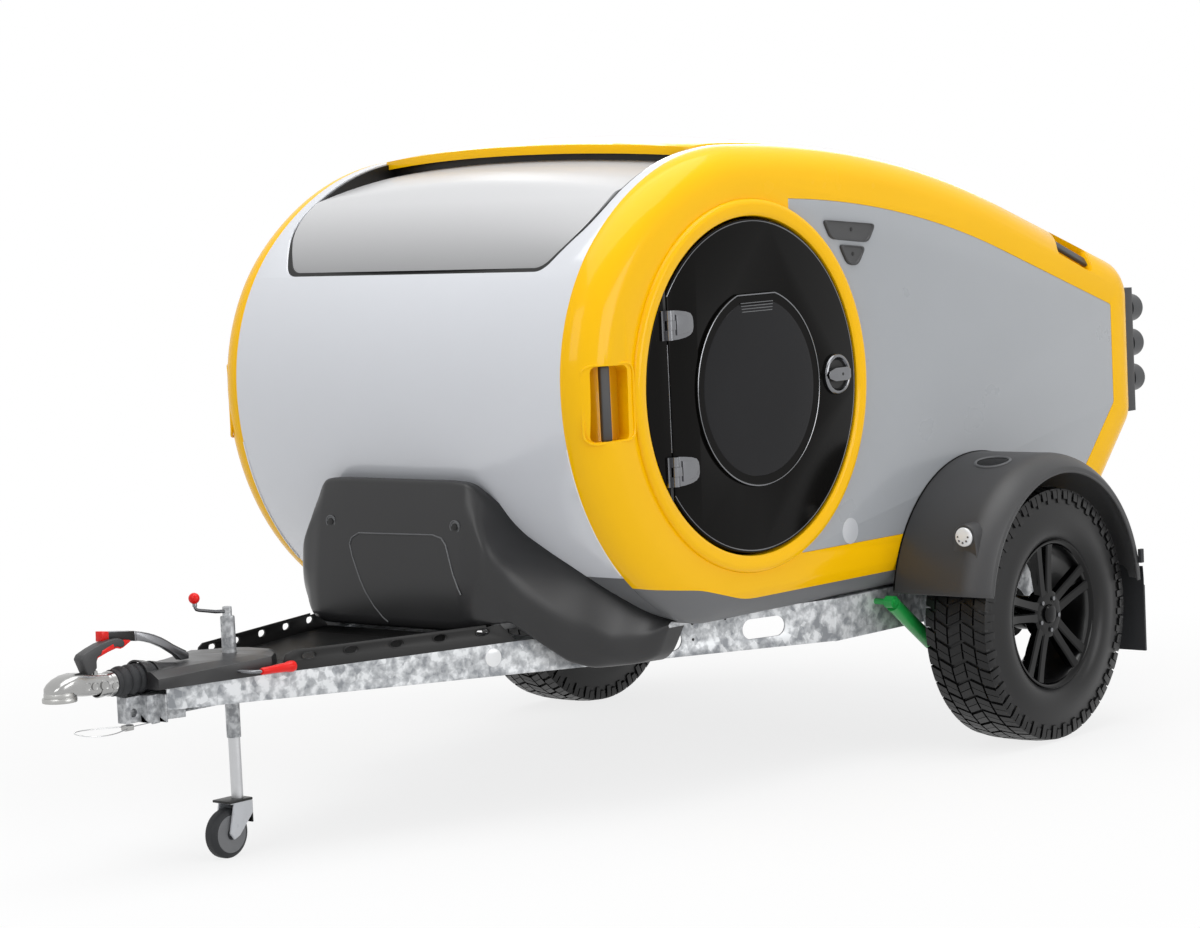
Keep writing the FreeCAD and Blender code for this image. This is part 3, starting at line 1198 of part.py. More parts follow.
def bellows_section():
    """Half section of the bellows: folds between two collars, about the shaft."""
    rear = "bellows_front_x - bellows_length"
    fold = f"(bellows_length - 20) / {BELLOWS_FOLDS}"
    corners = [("shaft_radius", rear), ("bellows_radius - 7", rear)]
    for number in range(BELLOWS_FOLDS):
        corners.append(("bellows_radius - 7", f"{rear} + {number + 0.2} * {fold}"))
        corners.append(("bellows_radius", f"{rear} + {number + 0.4} * {fold}"))
        corners.append(("bellows_radius", f"{rear} + {number + 0.65} * {fold}"))
        corners.append(("bellows_radius - 7", f"{rear} + {number + 0.85} * {fold}"))
    corners += [("bellows_radius - 9", "bellows_front_x"), ("shaft_radius", "bellows_front_x")]
    return corners


node("bellows", lathe("bellows", bellows_section(), "X", (0, 0, "shaft_z")))

NECK_HALF = 27
neck_rear = S.bellows_front_x + 22 - S.coupling_x
HEAD_SIDE = ((neck_rear, 7), (neck_rear, 51), (-130, 56), (-85, 64), (-48, 68), (-5, 63), (30, 50), (44, 22),
             (44, 0), (-44, 0), (-65, 7))   # side view: from the socket's centre, above the cup's lower edge
head_side = across(face_of([(S.coupling_x + x, S.cup_low_z + z) for x, z in HEAD_SIDE]),
                   -S.cup_radius, S.cup_radius)
head_plan = Part.makeCylinder(S.cup_radius, FAR, Vector(S.coupling_x, 0, 0))
taper = ((neck_rear, NECK_HALF), (-80, NECK_HALF + 2), (-8, S.cup_radius - 1))
taper_plan = [(S.coupling_x + x, y) for x, y in taper] + [(S.coupling_x + x, -y) for x, y in reversed(taper)]
head_plan = head_plan.fuse(face_of(taper_plan, "XY", 0).extrude(Vector(0, 0, FAR)))
head_body = head_side.common(head_plan)
sleeve = Part.makeCylinder(S.shaft_radius + 7, 62, Vector(S.bellows_front_x, 0, S.shaft_z), Vector(1, 0, 0))
head = head_body.fuse(sleeve)
head = head.cut(Part.makeCylinder(S.shaft_radius, 70, Vector(SHAFT_END - 70, 0, S.shaft_z), Vector(1, 0, 0)))
SOCKET_WALL = 28
head = head.cut(Part.makeCylinder(S.socket_radius, SOCKET_WALL + 1, Vector(S.coupling_x, 0, S.cup_low_z - 1)))
head = head.cut(Part.makeSphere(S.socket_radius, Vector(S.coupling_x, 0, S.cup_low_z + SOCKET_WALL)))
node("coupling_head", solid("coupling_head", head.removeSplitter()))

HANDLE = ((1878, 543), (1906, 543), (1910, 562), (1893, 590), (1822, 622), (1774, 634), (1770, 618), (1812, 600),
          (1866, 574))  # side view of the coupling handle
handle = across(face_of(HANDLE), -17, 17)
node("coupling_handle", solid("coupling_handle", handle.cut(head)))


def bar_path(points, radius):
    """A round bar through points, its joints rounded."""
    made = Part.makeSphere(radius, points[0])
    for first, second in zip(points, points[1:]):
        made = made.fuse([Part.makeCylinder(radius, (second - first).Length, first, second - first),
                          Part.makeSphere(radius, second)])
    return made.removeSplitter()


LEVER_Y = -14
LEVER_SIDE = ((1555, 545), (1557, 572), (1580, 591), (1616, 616), (1650, 629), (1673, 634), (1731, 634))
lever_path = [Vector(x, LEVER_Y, z) for x, z in LEVER_SIDE]
lever = bar_path(lever_path, 9)
grip_run = Vector(1841, LEVER_Y, 641) - lever_path[-1]
lever = lever.fuse(Part.makeCylinder(12, grip_run.Length, lever_path[-1], grip_run))
lever = lever.fuse(slab((1536, LEVER_Y - 12, S.cover_top_z), (1584, LEVER_Y + 12, S.cover_top_z + 22)))
lever = lever.cut(slab((-FAR, -FAR, 0), (FAR, FAR, S.cover_top_z)))
node("handbrake_lever", solid("handbrake_lever", lever.cut(handle).removeSplitter()))

# ---------------------------------------------------------------- jockey wheel

tube_length = "jockey_tube_top_z - jockey_tube_low_z"
tube_at = ("jockey_x", 0, "jockey_tube_low_z")
tube = cut("jockey_barrel", rod("jockey_outside", "Z", "jockey_tube_radius", tube_length, tube_at),
           rod("jockey_inside", "Z", "jockey_tube_radius - jockey_tube_wall", tube_length + " - 10",
               ("jockey_x", 0, "jockey_tube_low_z - 1")))
CRANK_Z = S.jockey_tube_top_z + 14
crank = bar_path([Vector(S.jockey_x, 0, CRANK_Z), Vector(S.jockey_x + 100, 0, CRANK_Z + 4),
                  Vector(S.jockey_x + 110, 0, CRANK_Z + 12), Vector(S.jockey_x + 112, 0, CRANK_Z + 34)], 5)
crank = crank.fuse(Part.makeSphere(15, Vector(S.jockey_x + 113, 0, CRANK_Z + 46)))
cap = Part.makeCylinder(13, 24, Vector(S.jockey_x, 0, S.jockey_tube_top_z))
node("jockey_tube", fuse("jockey_tube_whole", tube, solid("jockey_crank", crank.fuse(cap))))

CLAMP = (Vector(1505, 125, 510), Vector(1492, 172, 508), Vector(1477, 190, 508), Vector(1359, 192, 506))
clamp = bar_path(list(CLAMP[:3]), 5)
clamp = clamp.fuse(Part.makeCone(9, 14, (CLAMP[3] - CLAMP[2]).Length, CLAMP[2], CLAMP[3] - CLAMP[2]))
node("clamp_handle", solid("clamp_handle", clamp.cut(drawbar_cover()).removeSplitter()))

FORK_TOP = 152
FORK_PLATE = 8
LEG_LENGTH = 300
SWIVEL_RADIUS = 9
leg = fuse("jockey_leg", rod("leg_tube", "Z", "jockey_leg_radius", LEG_LENGTH, ("jockey_x", 0, FORK_TOP + 0.3)),
           rod("leg_pivot", "Z", SWIVEL_RADIUS, 14, ("jockey_x", 0, FORK_TOP - 13)),)
node("jockey_leg", leg)

fork_x = S.jockey_x
axle_at = Vector(S.jockey_x + S.jockey_trail, 0, S.jockey_wheel_radius)
half_fork = S.jockey_width / 2 + 5
fork = slab((fork_x - 24, -half_fork - 5, FORK_TOP - FORK_PLATE),
            (fork_x + S.jockey_trail + 6, half_fork + 5, FORK_TOP))
cheek = across(face_of(((fork_x - 24, FORK_TOP), (fork_x + S.jockey_trail - 8, FORK_TOP),
                        (axle_at.x + 13, axle_at.z + 4), (axle_at.x, axle_at.z - 14), (axle_at.x - 20, axle_at.z - 6),
                        (fork_x - 24, FORK_TOP - 40))), half_fork, half_fork + 5)
fork = fork.fuse([cheek, cheek.mirror(Vector(), Vector(0, 1, 0))])
fork = fork.fuse(along_y(6, axle_at.x, axle_at.z, -half_fork - 6, half_fork + 6))
fork = fork.cut(Part.makeCylinder(SWIVEL_RADIUS + S.run_gap, 60, Vector(fork_x, 0, FORK_TOP - 40)))
node("jockey_fork", solid("jockey_fork", fork.removeSplitter()))

JOCKEY_AXLE = 6
jockey_wheel = lathe("jockey_roller", [
    (f"{JOCKEY_AXLE} + run_gap", "-jockey_width / 2"), ("jockey_wheel_radius - 12", "-jockey_width / 2"),
    ("jockey_wheel_radius", "-jockey_width / 2 + 9"), ("jockey_wheel_radius", "jockey_width / 2 - 9"),
    ("jockey_wheel_radius - 12", "jockey_width / 2"), (f"{JOCKEY_AXLE} + run_gap", "jockey_width / 2"),
], "Y", ("jockey_x + jockey_trail", 0, "jockey_wheel_radius"))
node("jockey_wheel", jockey_wheel)

# ---------------------------------------------------------------- breakaway cable

CABLE_RADIUS = 1.5
CABLE = (
    Vector(1690, 0, 395), Vector(1722, -1, 394), Vector(1752, 3, 395), Vector(1790, 14, 393), Vector(1835, 27, 390),
    Vector(1880, 33, 391), Vector(1922, 27, 396), Vector(1944, 8, 401), Vector(1942, -14, 404), Vector(1915, -29, 404),
    Vector(1872, -30, 402), Vector(1828, -22, 400), Vector(1790, -9, 397), Vector(1768, -3, 395),
)


def cord_tube(points, radius):
    """A round cord along straight runs that are joined by arcs as large as the runs allow."""
    edges = []
    radii = []
    start = points[0]
    for before, corner, after in zip(points, points[1:], points[2:]):
        back = (before - corner).normalize()
        onward = (after - corner).normalize()
        half_turn = (math.pi - back.getAngle(onward)) / 2
        reach = 0.45 * min((corner - before).Length, (after - corner).Length)
        bend = reach / math.tan(half_turn)
        bisector = (back + onward).normalize()
        middle = corner + bisector * (bend / math.cos(half_turn) - bend)
        first, last = corner + back * reach, corner + onward * reach
        edges += [Part.LineSegment(start, first).toShape(), Part.Arc(first, middle, last).toShape()]
        radii.append(round(bend, 1))
        start = last
    edges.append(Part.LineSegment(start, points[-1]).toShape())
    path = Part.Wire(edges)
    ring = Part.Wire(Part.makeCircle(radius, points[0], points[1] - points[0]))
    tube = path.makePipeShell([ring], True, False)
    print("cord radii", radii, "length", round(path.Length, 1))
    print("cord volume over section times length", round(tube.Volume / (math.pi * radius ** 2 * path.Length), 4))
    return tube


cable = cord_tube(list(CABLE), CABLE_RADIUS)
node("breakaway_cable", solid("breakaway_cable", cable))
ferrule = slab((1764, -8, 387), (1788, 14, 402))
ferrule = ferrule.makeFillet(4, [e for e in ferrule.Edges if e.BoundBox.XLength > 20])
node("cable_ferrule", solid("cable_ferrule", ferrule.cut(cable)))

# ---------------------------------------------------------------- checks and export

doc.recompute()
for obj in doc.Objects:
    if "Invalid" in obj.State or "Error" in obj.State:
        raise RuntimeError(f"{obj.Name} failed: {obj.State}")
for name, obj in nodes:
    if obj.Shape.isNull() or not obj.Shape.isValid() or not obj.Shape.Solids:
        raise RuntimeError(f"{name} has no valid solid")
os.makedirs("parts", exist_ok=True)
for name, obj in nodes:
    obj.Shape.exportStep(f"parts/{name}.step")
print(len(nodes), "sub-parts written")
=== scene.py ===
"""Looks of the teardrop camping trailer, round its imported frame. Metres, in the frame of the CAD part."""
import math

import bmesh
import bpy
import numpy as np
from mathutils import Matrix, Vector


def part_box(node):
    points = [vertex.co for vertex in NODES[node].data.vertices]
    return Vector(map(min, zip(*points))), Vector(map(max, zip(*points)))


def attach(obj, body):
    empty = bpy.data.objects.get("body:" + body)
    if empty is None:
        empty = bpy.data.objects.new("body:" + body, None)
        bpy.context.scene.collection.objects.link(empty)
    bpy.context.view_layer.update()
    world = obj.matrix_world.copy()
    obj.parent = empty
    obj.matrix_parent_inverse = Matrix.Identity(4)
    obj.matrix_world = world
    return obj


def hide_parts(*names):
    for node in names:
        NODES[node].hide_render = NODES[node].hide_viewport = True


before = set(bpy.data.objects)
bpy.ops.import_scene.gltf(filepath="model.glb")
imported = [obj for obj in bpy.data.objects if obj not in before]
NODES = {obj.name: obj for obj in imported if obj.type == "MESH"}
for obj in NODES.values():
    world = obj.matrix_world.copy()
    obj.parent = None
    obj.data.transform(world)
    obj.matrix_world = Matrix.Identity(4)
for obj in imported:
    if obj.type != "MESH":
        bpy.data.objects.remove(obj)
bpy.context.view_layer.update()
scene = bpy.context.scene
scene.view_settings.view_transform = "Standard"

ALONG, ACROSS, UP = (1, 0, 0), (0, 1, 0), (0, 0, 1)
BOTH = (1, -1)
SIDES = (("left", 1), ("right", -1))


def centre_of(node):
    """The middle of a CAD node's box at rest."""
    low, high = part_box(node)
    return [(a + b) / 2 for a, b in zip(low, high)]


def circle(count):
    """Cosine and sine of evenly spaced turns."""
    for i in range(count):
        angle = 2 * math.pi * i / count
        yield math.cos(angle), math.sin(angle)


# ---- materials


def add_node(tree, kind, values=(), links=()):
    """A node of a kind, with values for some of its inputs and outputs that lead to others."""
    node = tree.nodes.new(kind)
    for name, value in dict(values).items():
        node.inputs[name].default_value = value
    for name, source in dict(links).items():
        tree.links.new(source, node.inputs[name])
    return node


def new_material(name, values=()):
    """A material, its node tree and its shader, with values for some of the shader's inputs."""
    made = bpy.data.materials.new(name)
    made.use_nodes = True
    shader = made.node_tree.nodes["Principled BSDF"]
    for socket, value in dict(values).items():
        shader.inputs[socket].default_value = value
    return made, made.node_tree, shader


def object_place(tree):
    """The place on an object, in metres."""
    return tree.nodes.new("ShaderNodeTexCoord").outputs["Object"]


def noise(tree, scale, detail, rough=0.5):
    """Noise on object coordinates."""
    return add_node(tree, "ShaderNodeTexNoise", {"Scale": scale, "Detail": detail, "Roughness": rough},
                    {"Vector": object_place(tree)}).outputs["Fac"]


def ramp(tree, source, stops, socket):
    """A colour ramp from an output to a socket. stops: (place, colour)."""
    made = add_node(tree, "ShaderNodeValToRGB", links={"Fac": source})
    while len(made.color_ramp.elements) < len(stops):
        made.color_ramp.elements.new(0.5)
    for element, (place, colour) in zip(made.color_ramp.elements, stops):
        element.position = place
        element.color = (*colour, 1.0)
    tree.links.new(made.outputs["Color"], socket)


def bump(tree, shader, source, strength, distance):
    """Relief on a shader from a noise."""
    made = add_node(tree, "ShaderNodeBump", {"Strength": strength, "Distance": distance}, {"Height": source})
    tree.links.new(made.outputs["Normal"], shader.inputs["Normal"])


def srgb(text):
    """Linear colour of a hex code."""
    shares = (value / 255 for value in bytes.fromhex(text))
    return tuple(((share + 0.055) / 1.055) ** 2.4 if share > 0.04045 else share / 12.92 for share in shares)


def paint(name, colour, rough=0.3, coat=0.0, vary=0.04, grain=None, specular=0.5):
    """Paint or plastic, a little uneven in tone and sheen. grain: a relief's scale, strength and depth."""
    made, tree, shader = new_material(name, {"Specular IOR Level": specular, "Coat Weight": coat})
    low, high = (tuple(min(1, c * (1 + side * vary)) for c in srgb(colour)) for side in (-1, 1))
    ramp(tree, noise(tree, 2.3, 5), ((0.3, low), (0.7, high)), shader.inputs["Base Color"])
    sheen = ((0.25, (rough * 0.88,) * 3), (0.75, (rough * 1.12,) * 3))
    ramp(tree, noise(tree, 5, 6), sheen, shader.inputs["Roughness"])
    if grain:
        scale, strength, depth = grain
        bump(tree, shader, noise(tree, scale, 2), strength, depth)
    return made


def galvanised(name, scale, dark, light):
    """Zinc: soft cloudy blotches of two sizes, with the edges of its crystals only just showing."""
    made, tree, shader = new_material(name, {"Metallic": 0.55})
    crystals = add_node(tree, "ShaderNodeTexVoronoi", {"Scale": scale * 1.6}, {"Vector": object_place(tree)})
    crystal_tone = add_node(tree, "ShaderNodeRGBToBW", links={"Color": crystals.outputs["Color"]})
    tone = add_node(tree, "ShaderNodeMix", {"Factor": 0.84},
                    {"A": crystal_tone.outputs["Val"], "B": noise(tree, scale, 3, 0.55)}).outputs["Result"]
    low, high = srgb(dark), srgb(light)
    between = tuple((a + b) / 2 for a, b in zip(low, high))
    ramp(tree, tone, ((0.36, low), (0.5, between), (0.6, high)), shader.inputs["Base Color"])
    ramp(tree, tone, ((0.3, (0.55,) * 3), (0.7, (0.4,) * 3)), shader.inputs["Roughness"])
    bump(tree, shader, noise(tree, scale * 3, 3), 0.12, 0.001)
    return made


def pane_painted_reflection(name, low, high, heights):
    """A silvered pane, grey at its foot and near white at its brow between two heights: a painted reflection,
    lighter towards the top.
    """
    made, tree, shader = new_material(name, {"Roughness": 0.3, "Metallic": 0.1, "Specular IOR Level": 0.3})
    parts = add_node(tree, "ShaderNodeSeparateXYZ", links={0: object_place(tree)})
    climb = add_node(tree, "ShaderNodeMapRange", {"From Min": heights[0], "From Max": heights[1]},
                     {"Value": parts.outputs["Z"]})
    ramp(tree, climb.outputs["Result"], ((0.0, srgb(low)), (1.0, srgb(high))), shader.inputs["Base Color"])
    return made


def metal(name, colour, rough, brush=0.0):
    """Bare metal, uneven in tone and sheen, with fine scratches of strength brush."""
    made, tree, shader = new_material(name, {"Metallic": 1.0})
    base = srgb(colour)
    cloud = noise(tree, 14, 4)
    ramp(tree, cloud, ((0.3, tuple(c * 0.9 for c in base)), (0.7, base)), shader.inputs["Base Color"])
    ramp(tree, cloud, ((0.3, (rough * 0.8,) * 3), (0.7, (rough * 1.2,) * 3)), shader.inputs["Roughness"])
    if brush:
        bump(tree, shader, noise(tree, 160, 2), brush, 0.0005)
    return made


YELLOW = paint("yellow_gelcoat", "F9BE00", 0.25, coat=0.22, vary=0.02, specular=0.08)
GREY = paint("grey_side_panel", "9FA2A6", 0.3, coat=0.35, vary=0.025)
WHITE = paint("silver_white_shell", "D2D4D9", 0.2, coat=0.7, vary=0.012)
TRIM = paint("dark_moulded_plastic", "3A3A3B", 0.46, vary=0.05, grain=(420, 0.25, 0.0006), specular=0.45)
MOULDED = paint("console_plastic", "262627", 0.36, vary=0.05, grain=(420, 0.15, 0.0005), specular=0.42)
SKIRT = paint("skirt_plastic", "67686A", 0.5, vary=0.04, grain=(420, 0.2, 0.0006), specular=0.35)
GLOSS = paint("black_gloss", "0B0A09", 0.12, vary=0.1, specular=0.07)
BLACK = paint("black_satin", "141414", 0.42, vary=0.1, grain=(500, 0.2, 0.0006), specular=0.35)
PANE = paint("smoked_window", "18181A", 0.2, vary=0.08, specular=0.14)
# the front window's climb from grey to near white is a painted reflection
MIRROR_PAINTED_REFLECTION = pane_painted_reflection("pane_painted_reflection", "808081", "C6C6C7", (1.42, 1.68))
RUBBER = paint("moulded_rubber", "2E2F31", 0.62, vary=0.08, grain=(260, 0.3, 0.001), specular=0.3)
TYRE = paint("tyre_rubber", "101011", 0.38, vary=0.1, grain=(180, 0.15, 0.0006), specular=0.34)
ALLOY = paint("gloss_black_alloy", "070708", 0.1, vary=0.1, specular=0.2)
LAMP = paint("lamp_housing", "3A3B3D", 0.4, vary=0.06, grain=(350, 0.15, 0.0006))
RED = paint("red_plastic", "E01710", 0.3, coat=0.05, vary=0.05, specular=0.25)
GREEN = paint("green_damper", "1E9A45", 0.35, coat=0.3, vary=0.08)
WOOD = paint("birch_ply", "C3A77C", 0.5, vary=0.12, grain=(60, 0.2, 0.001))
LENS = paint("clear_lens", "E9EAEB", 0.15, coat=0.8, vary=0.04)
RIB = paint("window_louvre", "5A5B5D", 0.4, vary=0.08)
BARREL = paint("rim_barrel", "0C0C0D", 0.3, coat=0.2, vary=0.1)
LEVER = metal("dark_steel", "858689", 0.3, 0.1)
BRUSHED = metal("worn_cast", "B4B4B2", 0.36, 0.25)
CAP = paint("pale_cap", "C2C4C8", 0.3, coat=0.3, vary=0.02)
ZINC = galvanised("galvanised_steel", 30, "8E9195", "E0E2E4")
ZINC_FINE = galvanised("galvanised_tube", 60, "888A8D", "BCBEC0")
CAST = metal("zinc_plated_cast", "ABABAA", 0.2, 0.3)
ROLLER = paint("grey_roller", "6E6F71", 0.4, vary=0.06)
BRIGHT_ZINC = metal("bright_zinc_tube", "C6C7C9", 0.35, 0.15)
SATIN = metal("satin_chrome", "7E7F82", 0.2, 0.15)
BRIGHT = metal("bright_steel", "D6D7D8", 0.16)

# ---- finish and edges of the CAD nodes

# a value, then the nodes that have it; a pair of nodes is named without its side
FINISH = (
    (YELLOW, "side_frame roof_panel door_rings rear_hatch"),
    (GREY, "side_panel"),
    (WHITE, "front_shell rear_shell"),
    (SKIRT, "side_skirts floor_pan"),
    (WOOD, "galley_unit"),
    (MIRROR_PAINTED_REFLECTION, "front_window"),
    (BLACK, "window_gasket hatch_hinges cargo_tray"),
    (GLOSS, "door door_posts"),
    (PANE, "door_window"),
    (SATIN, "door_hardware hinge_pins handbrake_lever"),
    (ZINC, "drawbar_rail side_members cross_members axle_beam swing_arms"),
    (GREEN, "shock_absorbers"),
    (TYRE, "tyre"),
    (ALLOY, "wheel"),
    (TRIM, "mudguard lamp_panels side_vents grab_bars coupling_handle"),
    (RUBBER, "mud_flaps bellows jockey_wheel"),
    (LENS, "marker_lamps"),
    (LAMP, "rear_lamps"),
    (MOULDED, "front_console drawbar_cover"),
    (ZINC_FINE, "nose_bracket brake_rod jockey_tube"),
    (BRIGHT, "drawbar_shaft breakaway_cable"),
    (CAST, "coupling_head cable_ferrule"),
    (RED, "clamp_handle"),
    (BRIGHT_ZINC, "jockey_leg"),
    (CAP, "jockey_fork"),
)
EDGE_WIDTH = (
    (0.006, "drawbar_cover"),
    (0.005, "rear_hatch"),
    (0.004, "side_frame roof_panel door grab_bars nose_bracket jockey_wheel"),
    (0.003, "side_panel front_shell rear_shell side_skirts door_posts lamp_panels axle_beam"),
    (0.0025, "drawbar_rail side_members mudguard"),
    (0.002, "cross_members"),
    (0.0012, "cargo_tray jockey_fork"),
)
WELD = 0.00005
FLAT_ANGLE = 0.6
SMOOTH_ANGLE = 32


def by_node(rows):
    """Each node's value, from rows of a value and names."""
    return {name: value for value, names in rows for name in names.split()}


def smooth_by_angle(obj, degrees):
    """Marks the edges sharper than an angle and shades the rest smoothly, in modifiers alone."""
    name = f"smooth_{degrees}"
    group = bpy.data.node_groups.get(name)
    if group is None:
        group = bpy.data.node_groups.new(name, "GeometryNodeTree")
        for way in ("INPUT", "OUTPUT"):
            group.interface.new_socket("Geometry", in_out=way, socket_type="NodeSocketGeometry")
        start, end = group.nodes.new("NodeGroupInput"), group.nodes.new("NodeGroupOutput")
        angle = group.nodes.new("GeometryNodeInputMeshEdgeAngle").outputs["Unsigned Angle"]
        test = add_node(group, "FunctionNodeCompare", {"B": math.radians(degrees)}, {"A": angle})
        test.operation = "LESS_EQUAL"
        faces = add_node(group, "GeometryNodeSetShadeSmooth", links={"Geometry": start.outputs[0]})
        edges = add_node(group, "GeometryNodeSetShadeSmooth", links={"Geometry": faces.outputs["Geometry"],
                                                                     "Shade Smooth": test.outputs["Result"]})
        edges.domain = "EDGE"
        group.links.new(edges.outputs["Geometry"], end.inputs[0])
    obj.modifiers.new("smooth", "NODES").node_group = group


def round_edges(obj, width, segments, degrees):
    """Rounds the edges sharper than an angle."""
    edge = obj.modifiers.new("edge", "BEVEL")
    edge.width, edge.segments, edge.limit_method = width, segments, "ANGLE"
    edge.angle_limit = math.radians(degrees)


def soften(obj, width):
    """Joins a node's facets, rounds its sharp edges and shades it smoothly."""
    obj.modifiers.new("weld", "WELD").merge_threshold = WELD
    if width:
        flat = obj.modifiers.new("flat", "DECIMATE")
        flat.decimate_type, flat.angle_limit = "DISSOLVE", math.radians(FLAT_ANGLE)
        round_edges(obj, width, 3, 28)
    smooth_by_angle(obj, SMOOTH_ANGLE)


finishes, widths = by_node(FINISH), by_node(EDGE_WIDTH)
for name, node in NODES.items():
    pair = name.removesuffix("_left").removesuffix("_right")
    node.data.materials.clear()
    node.data.materials.append(finishes[pair])
    soften(node, widths.get(pair, 0))

# ---- mesh pieces


class Mesh:
    """Vertices, faces and the number of each face's material."""

    def __init__(self):
        self.points, self.faces, self.kinds = [], [], []

    def add(self, points, faces, kind=0):
        """Adds points, and faces that count them from their first."""
        start = len(self.points)
        self.points += [tuple(point) for point in points]
        self.faces += [tuple(start + i for i in face) for face in faces]
        self.kinds += [kind] * len(faces)

    def grid(self, rings, kind=0, closed=True, caps=True):
        """Joins rings of equally many points, each ring closed or open, with a face on each end."""
        count = len(rings[0])
        faces = []
        last = count if closed else count - 1
        for r in range(len(rings) - 1):
            for i in range(last):
                j = (i + 1) % count
                faces.append((r * count + i, r * count + j, (r + 1) * count + j, (r + 1) * count + i))
        if caps and closed:
            faces.append(tuple(reversed(range(count))))
            faces.append(tuple((len(rings) - 1) * count + i for i in range(count)))
        self.add([point for ring in rings for point in ring], faces, kind)

    def lathe(self, profile, at=(0, 0, 0), axis=ACROSS, kind=0, segments=64):
        """Turns (radius, along) points about an axis through a place."""
        axis, at = Vector(axis).normalized(), Vector(at)
        side = Vector(UP) if abs(axis.z) < 0.5 else axis.orthogonal().normalized()
        other = axis.cross(side)
        rings = [[at + axis * along + side * (radius * c) + other * (radius * s) for c, s in circle(segments)]
                 for radius, along in profile]
        self.grid(rings, kind, caps=False)
        return self

    def prism(self, outline, low, high, kind=0, plan=False):
        """An outline in the side view between two places across, or one in plan between two heights."""
        count = len(outline)
        points = [(a, b, level) if plan else (a, level, b) for level in (low, high) for a, b in outline]
        faces = [(i, (i + 1) % count, count + (i + 1) % count, count + i) for i in range(count)]
        faces += [tuple(reversed(range(count))), tuple(range(count, 2 * count))]
        self.add(points, faces, kind)
        return self

    def box(self, low, high, kind=0):
        """A block between two corners."""
        (x0, y0, z0), (x1, y1, z1) = low, high
        return self.prism([(x0, y0), (x1, y0), (x1, y1), (x0, y1)], z0, z1, kind, plan=True)

    def tube(self, path, radius, kind=0, segments=12, closed=False):
        """A round bar along points; radius is one number or one for each point."""
        path = [Vector(point) for point in path]
        radii = radius if isinstance(radius, (list, tuple)) else [radius] * len(path)
        rings = []
        side = None
        count = len(path)
        for i, point in enumerate(path):
            before = path[(i - 1) % count] if closed or i else point
            after = path[(i + 1) % count] if closed or i < count - 1 else point
            along = (after - before).normalized()
            if side is None:
                side = along.orthogonal().normalized()
            side = (side - along * side.dot(along)).normalized()
            other = along.cross(side)
            rings.append([point + (side * c + other * s) * radii[i] for c, s in circle(segments)])
        if closed:
            rings.append(rings[0])
        self.grid(rings, kind, True, not closed)
        return self

    def ball(self, at, radius, steps=12):
        """A ball, flattened by a hair at its poles."""
        turns = [math.pi * i / steps for i in range(steps + 1)]
        profile = [(max(radius * math.sin(a), 0.00001), -radius * math.cos(a)) for a in turns]
        return self.lathe(profile, at, UP, segments=2 * steps)


def put(name, shape, materials, replaces=(), sides=(1,), bevel=0.0, segments=2, smooth=SMOOTH_ANGLE,
        body="trailer"):
    """Makes a piece of a mesh, with its mirror image where sides has -1, on a body of the CAD."""
    points, faces, kinds = [], [], []
    for side in sides:
        start = len(points)
        points += [(x, y * side, z) for x, y, z in shape.points]
        faces += [tuple(start + i for i in (face if side > 0 else reversed(face))) for face in shape.faces]
        kinds += shape.kinds
    data = bpy.data.meshes.new(name)
    data.from_pydata(points, [], faces)
    for made in materials:
        data.materials.append(made)
    for polygon, kind in zip(data.polygons, kinds):
        polygon.material_index = kind
    work = bmesh.new()
    work.from_mesh(data)
    bmesh.ops.remove_doubles(work, verts=work.verts, dist=0.00002)
    bmesh.ops.recalc_face_normals(work, faces=work.faces)
    work.to_mesh(data)
    work.free()
    obj = bpy.data.objects.new(name, data)
    scene.collection.objects.link(obj)
    if bevel:
        round_edges(obj, bevel, segments, 30)
    smooth_by_angle(obj, smooth)
    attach(obj, body)
    if replaces:
        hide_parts(*replaces)
    return obj


def arc_points(centre, radius, start, end, count):
    """Points on a circle in the side view."""
    for i in range(count + 1):
        angle = math.radians(start + (end - start) * i / count)
        yield centre[0] + radius * math.cos(angle), centre[1] + radius * math.sin(angle)


def ease(before, corner, after, radius, share, steps=5):
    """Points that round a corner of an outline, on at most a share of the runs beside it."""
    before, corner, after = Vector(before), Vector(corner), Vector(after)
    reach = min(radius, share * (corner - before).length, share * (after - corner).length)
    first = corner + (before - corner).normalized() * reach
    last = corner + (after - corner).normalized() * reach
    for k in range(steps + 1):
        t = k / steps
        yield tuple(first * (1 - t) ** 2 + corner * (2 * t * (1 - t)) + last * t ** 2)


def round_corners(corners, radius, steps=5):
    """A closed outline with its corners rounded."""
    count = len(corners)
    return [spot for i in range(count)
            for spot in ease(corners[i - 1], corners[i], corners[(i + 1) % count], radius, 0.4, steps)]


def shrink(corners, amount):
    """The same outline drawn in towards its middle."""
    middle = Vector((sum(x for x, _ in corners) / len(corners), sum(z for _, z in corners) / len(corners)))
    made = []
    for corner in corners:
        out = Vector(corner) - middle
        made.append(tuple(middle + out * (1 - amount / out.length)))
    return made


# ---- doors

DOOR = centre_of("door_rings")
ring = Mesh().lathe([(0.469, 0.669), (0.469, 0.712), (0.4705, 0.7185), (0.475, 0.7225), (0.481, 0.7245),
                     (0.5, 0.727), (0.507, 0.7262), (0.513, 0.7225), (0.5172, 0.716), (0.518, 0.708),
                     (0.518, 0.669), (0.469, 0.669)], DOOR, segments=160)
put("door_surrounds", ring, [YELLOW], ["door_rings"], BOTH)

WINDOW = (0.0415, 1.131)
# the pane's radius, and the height above its middle of the flat across its top
PANE_RADIUS, PANE_TOP = 0.2745, 0.2615
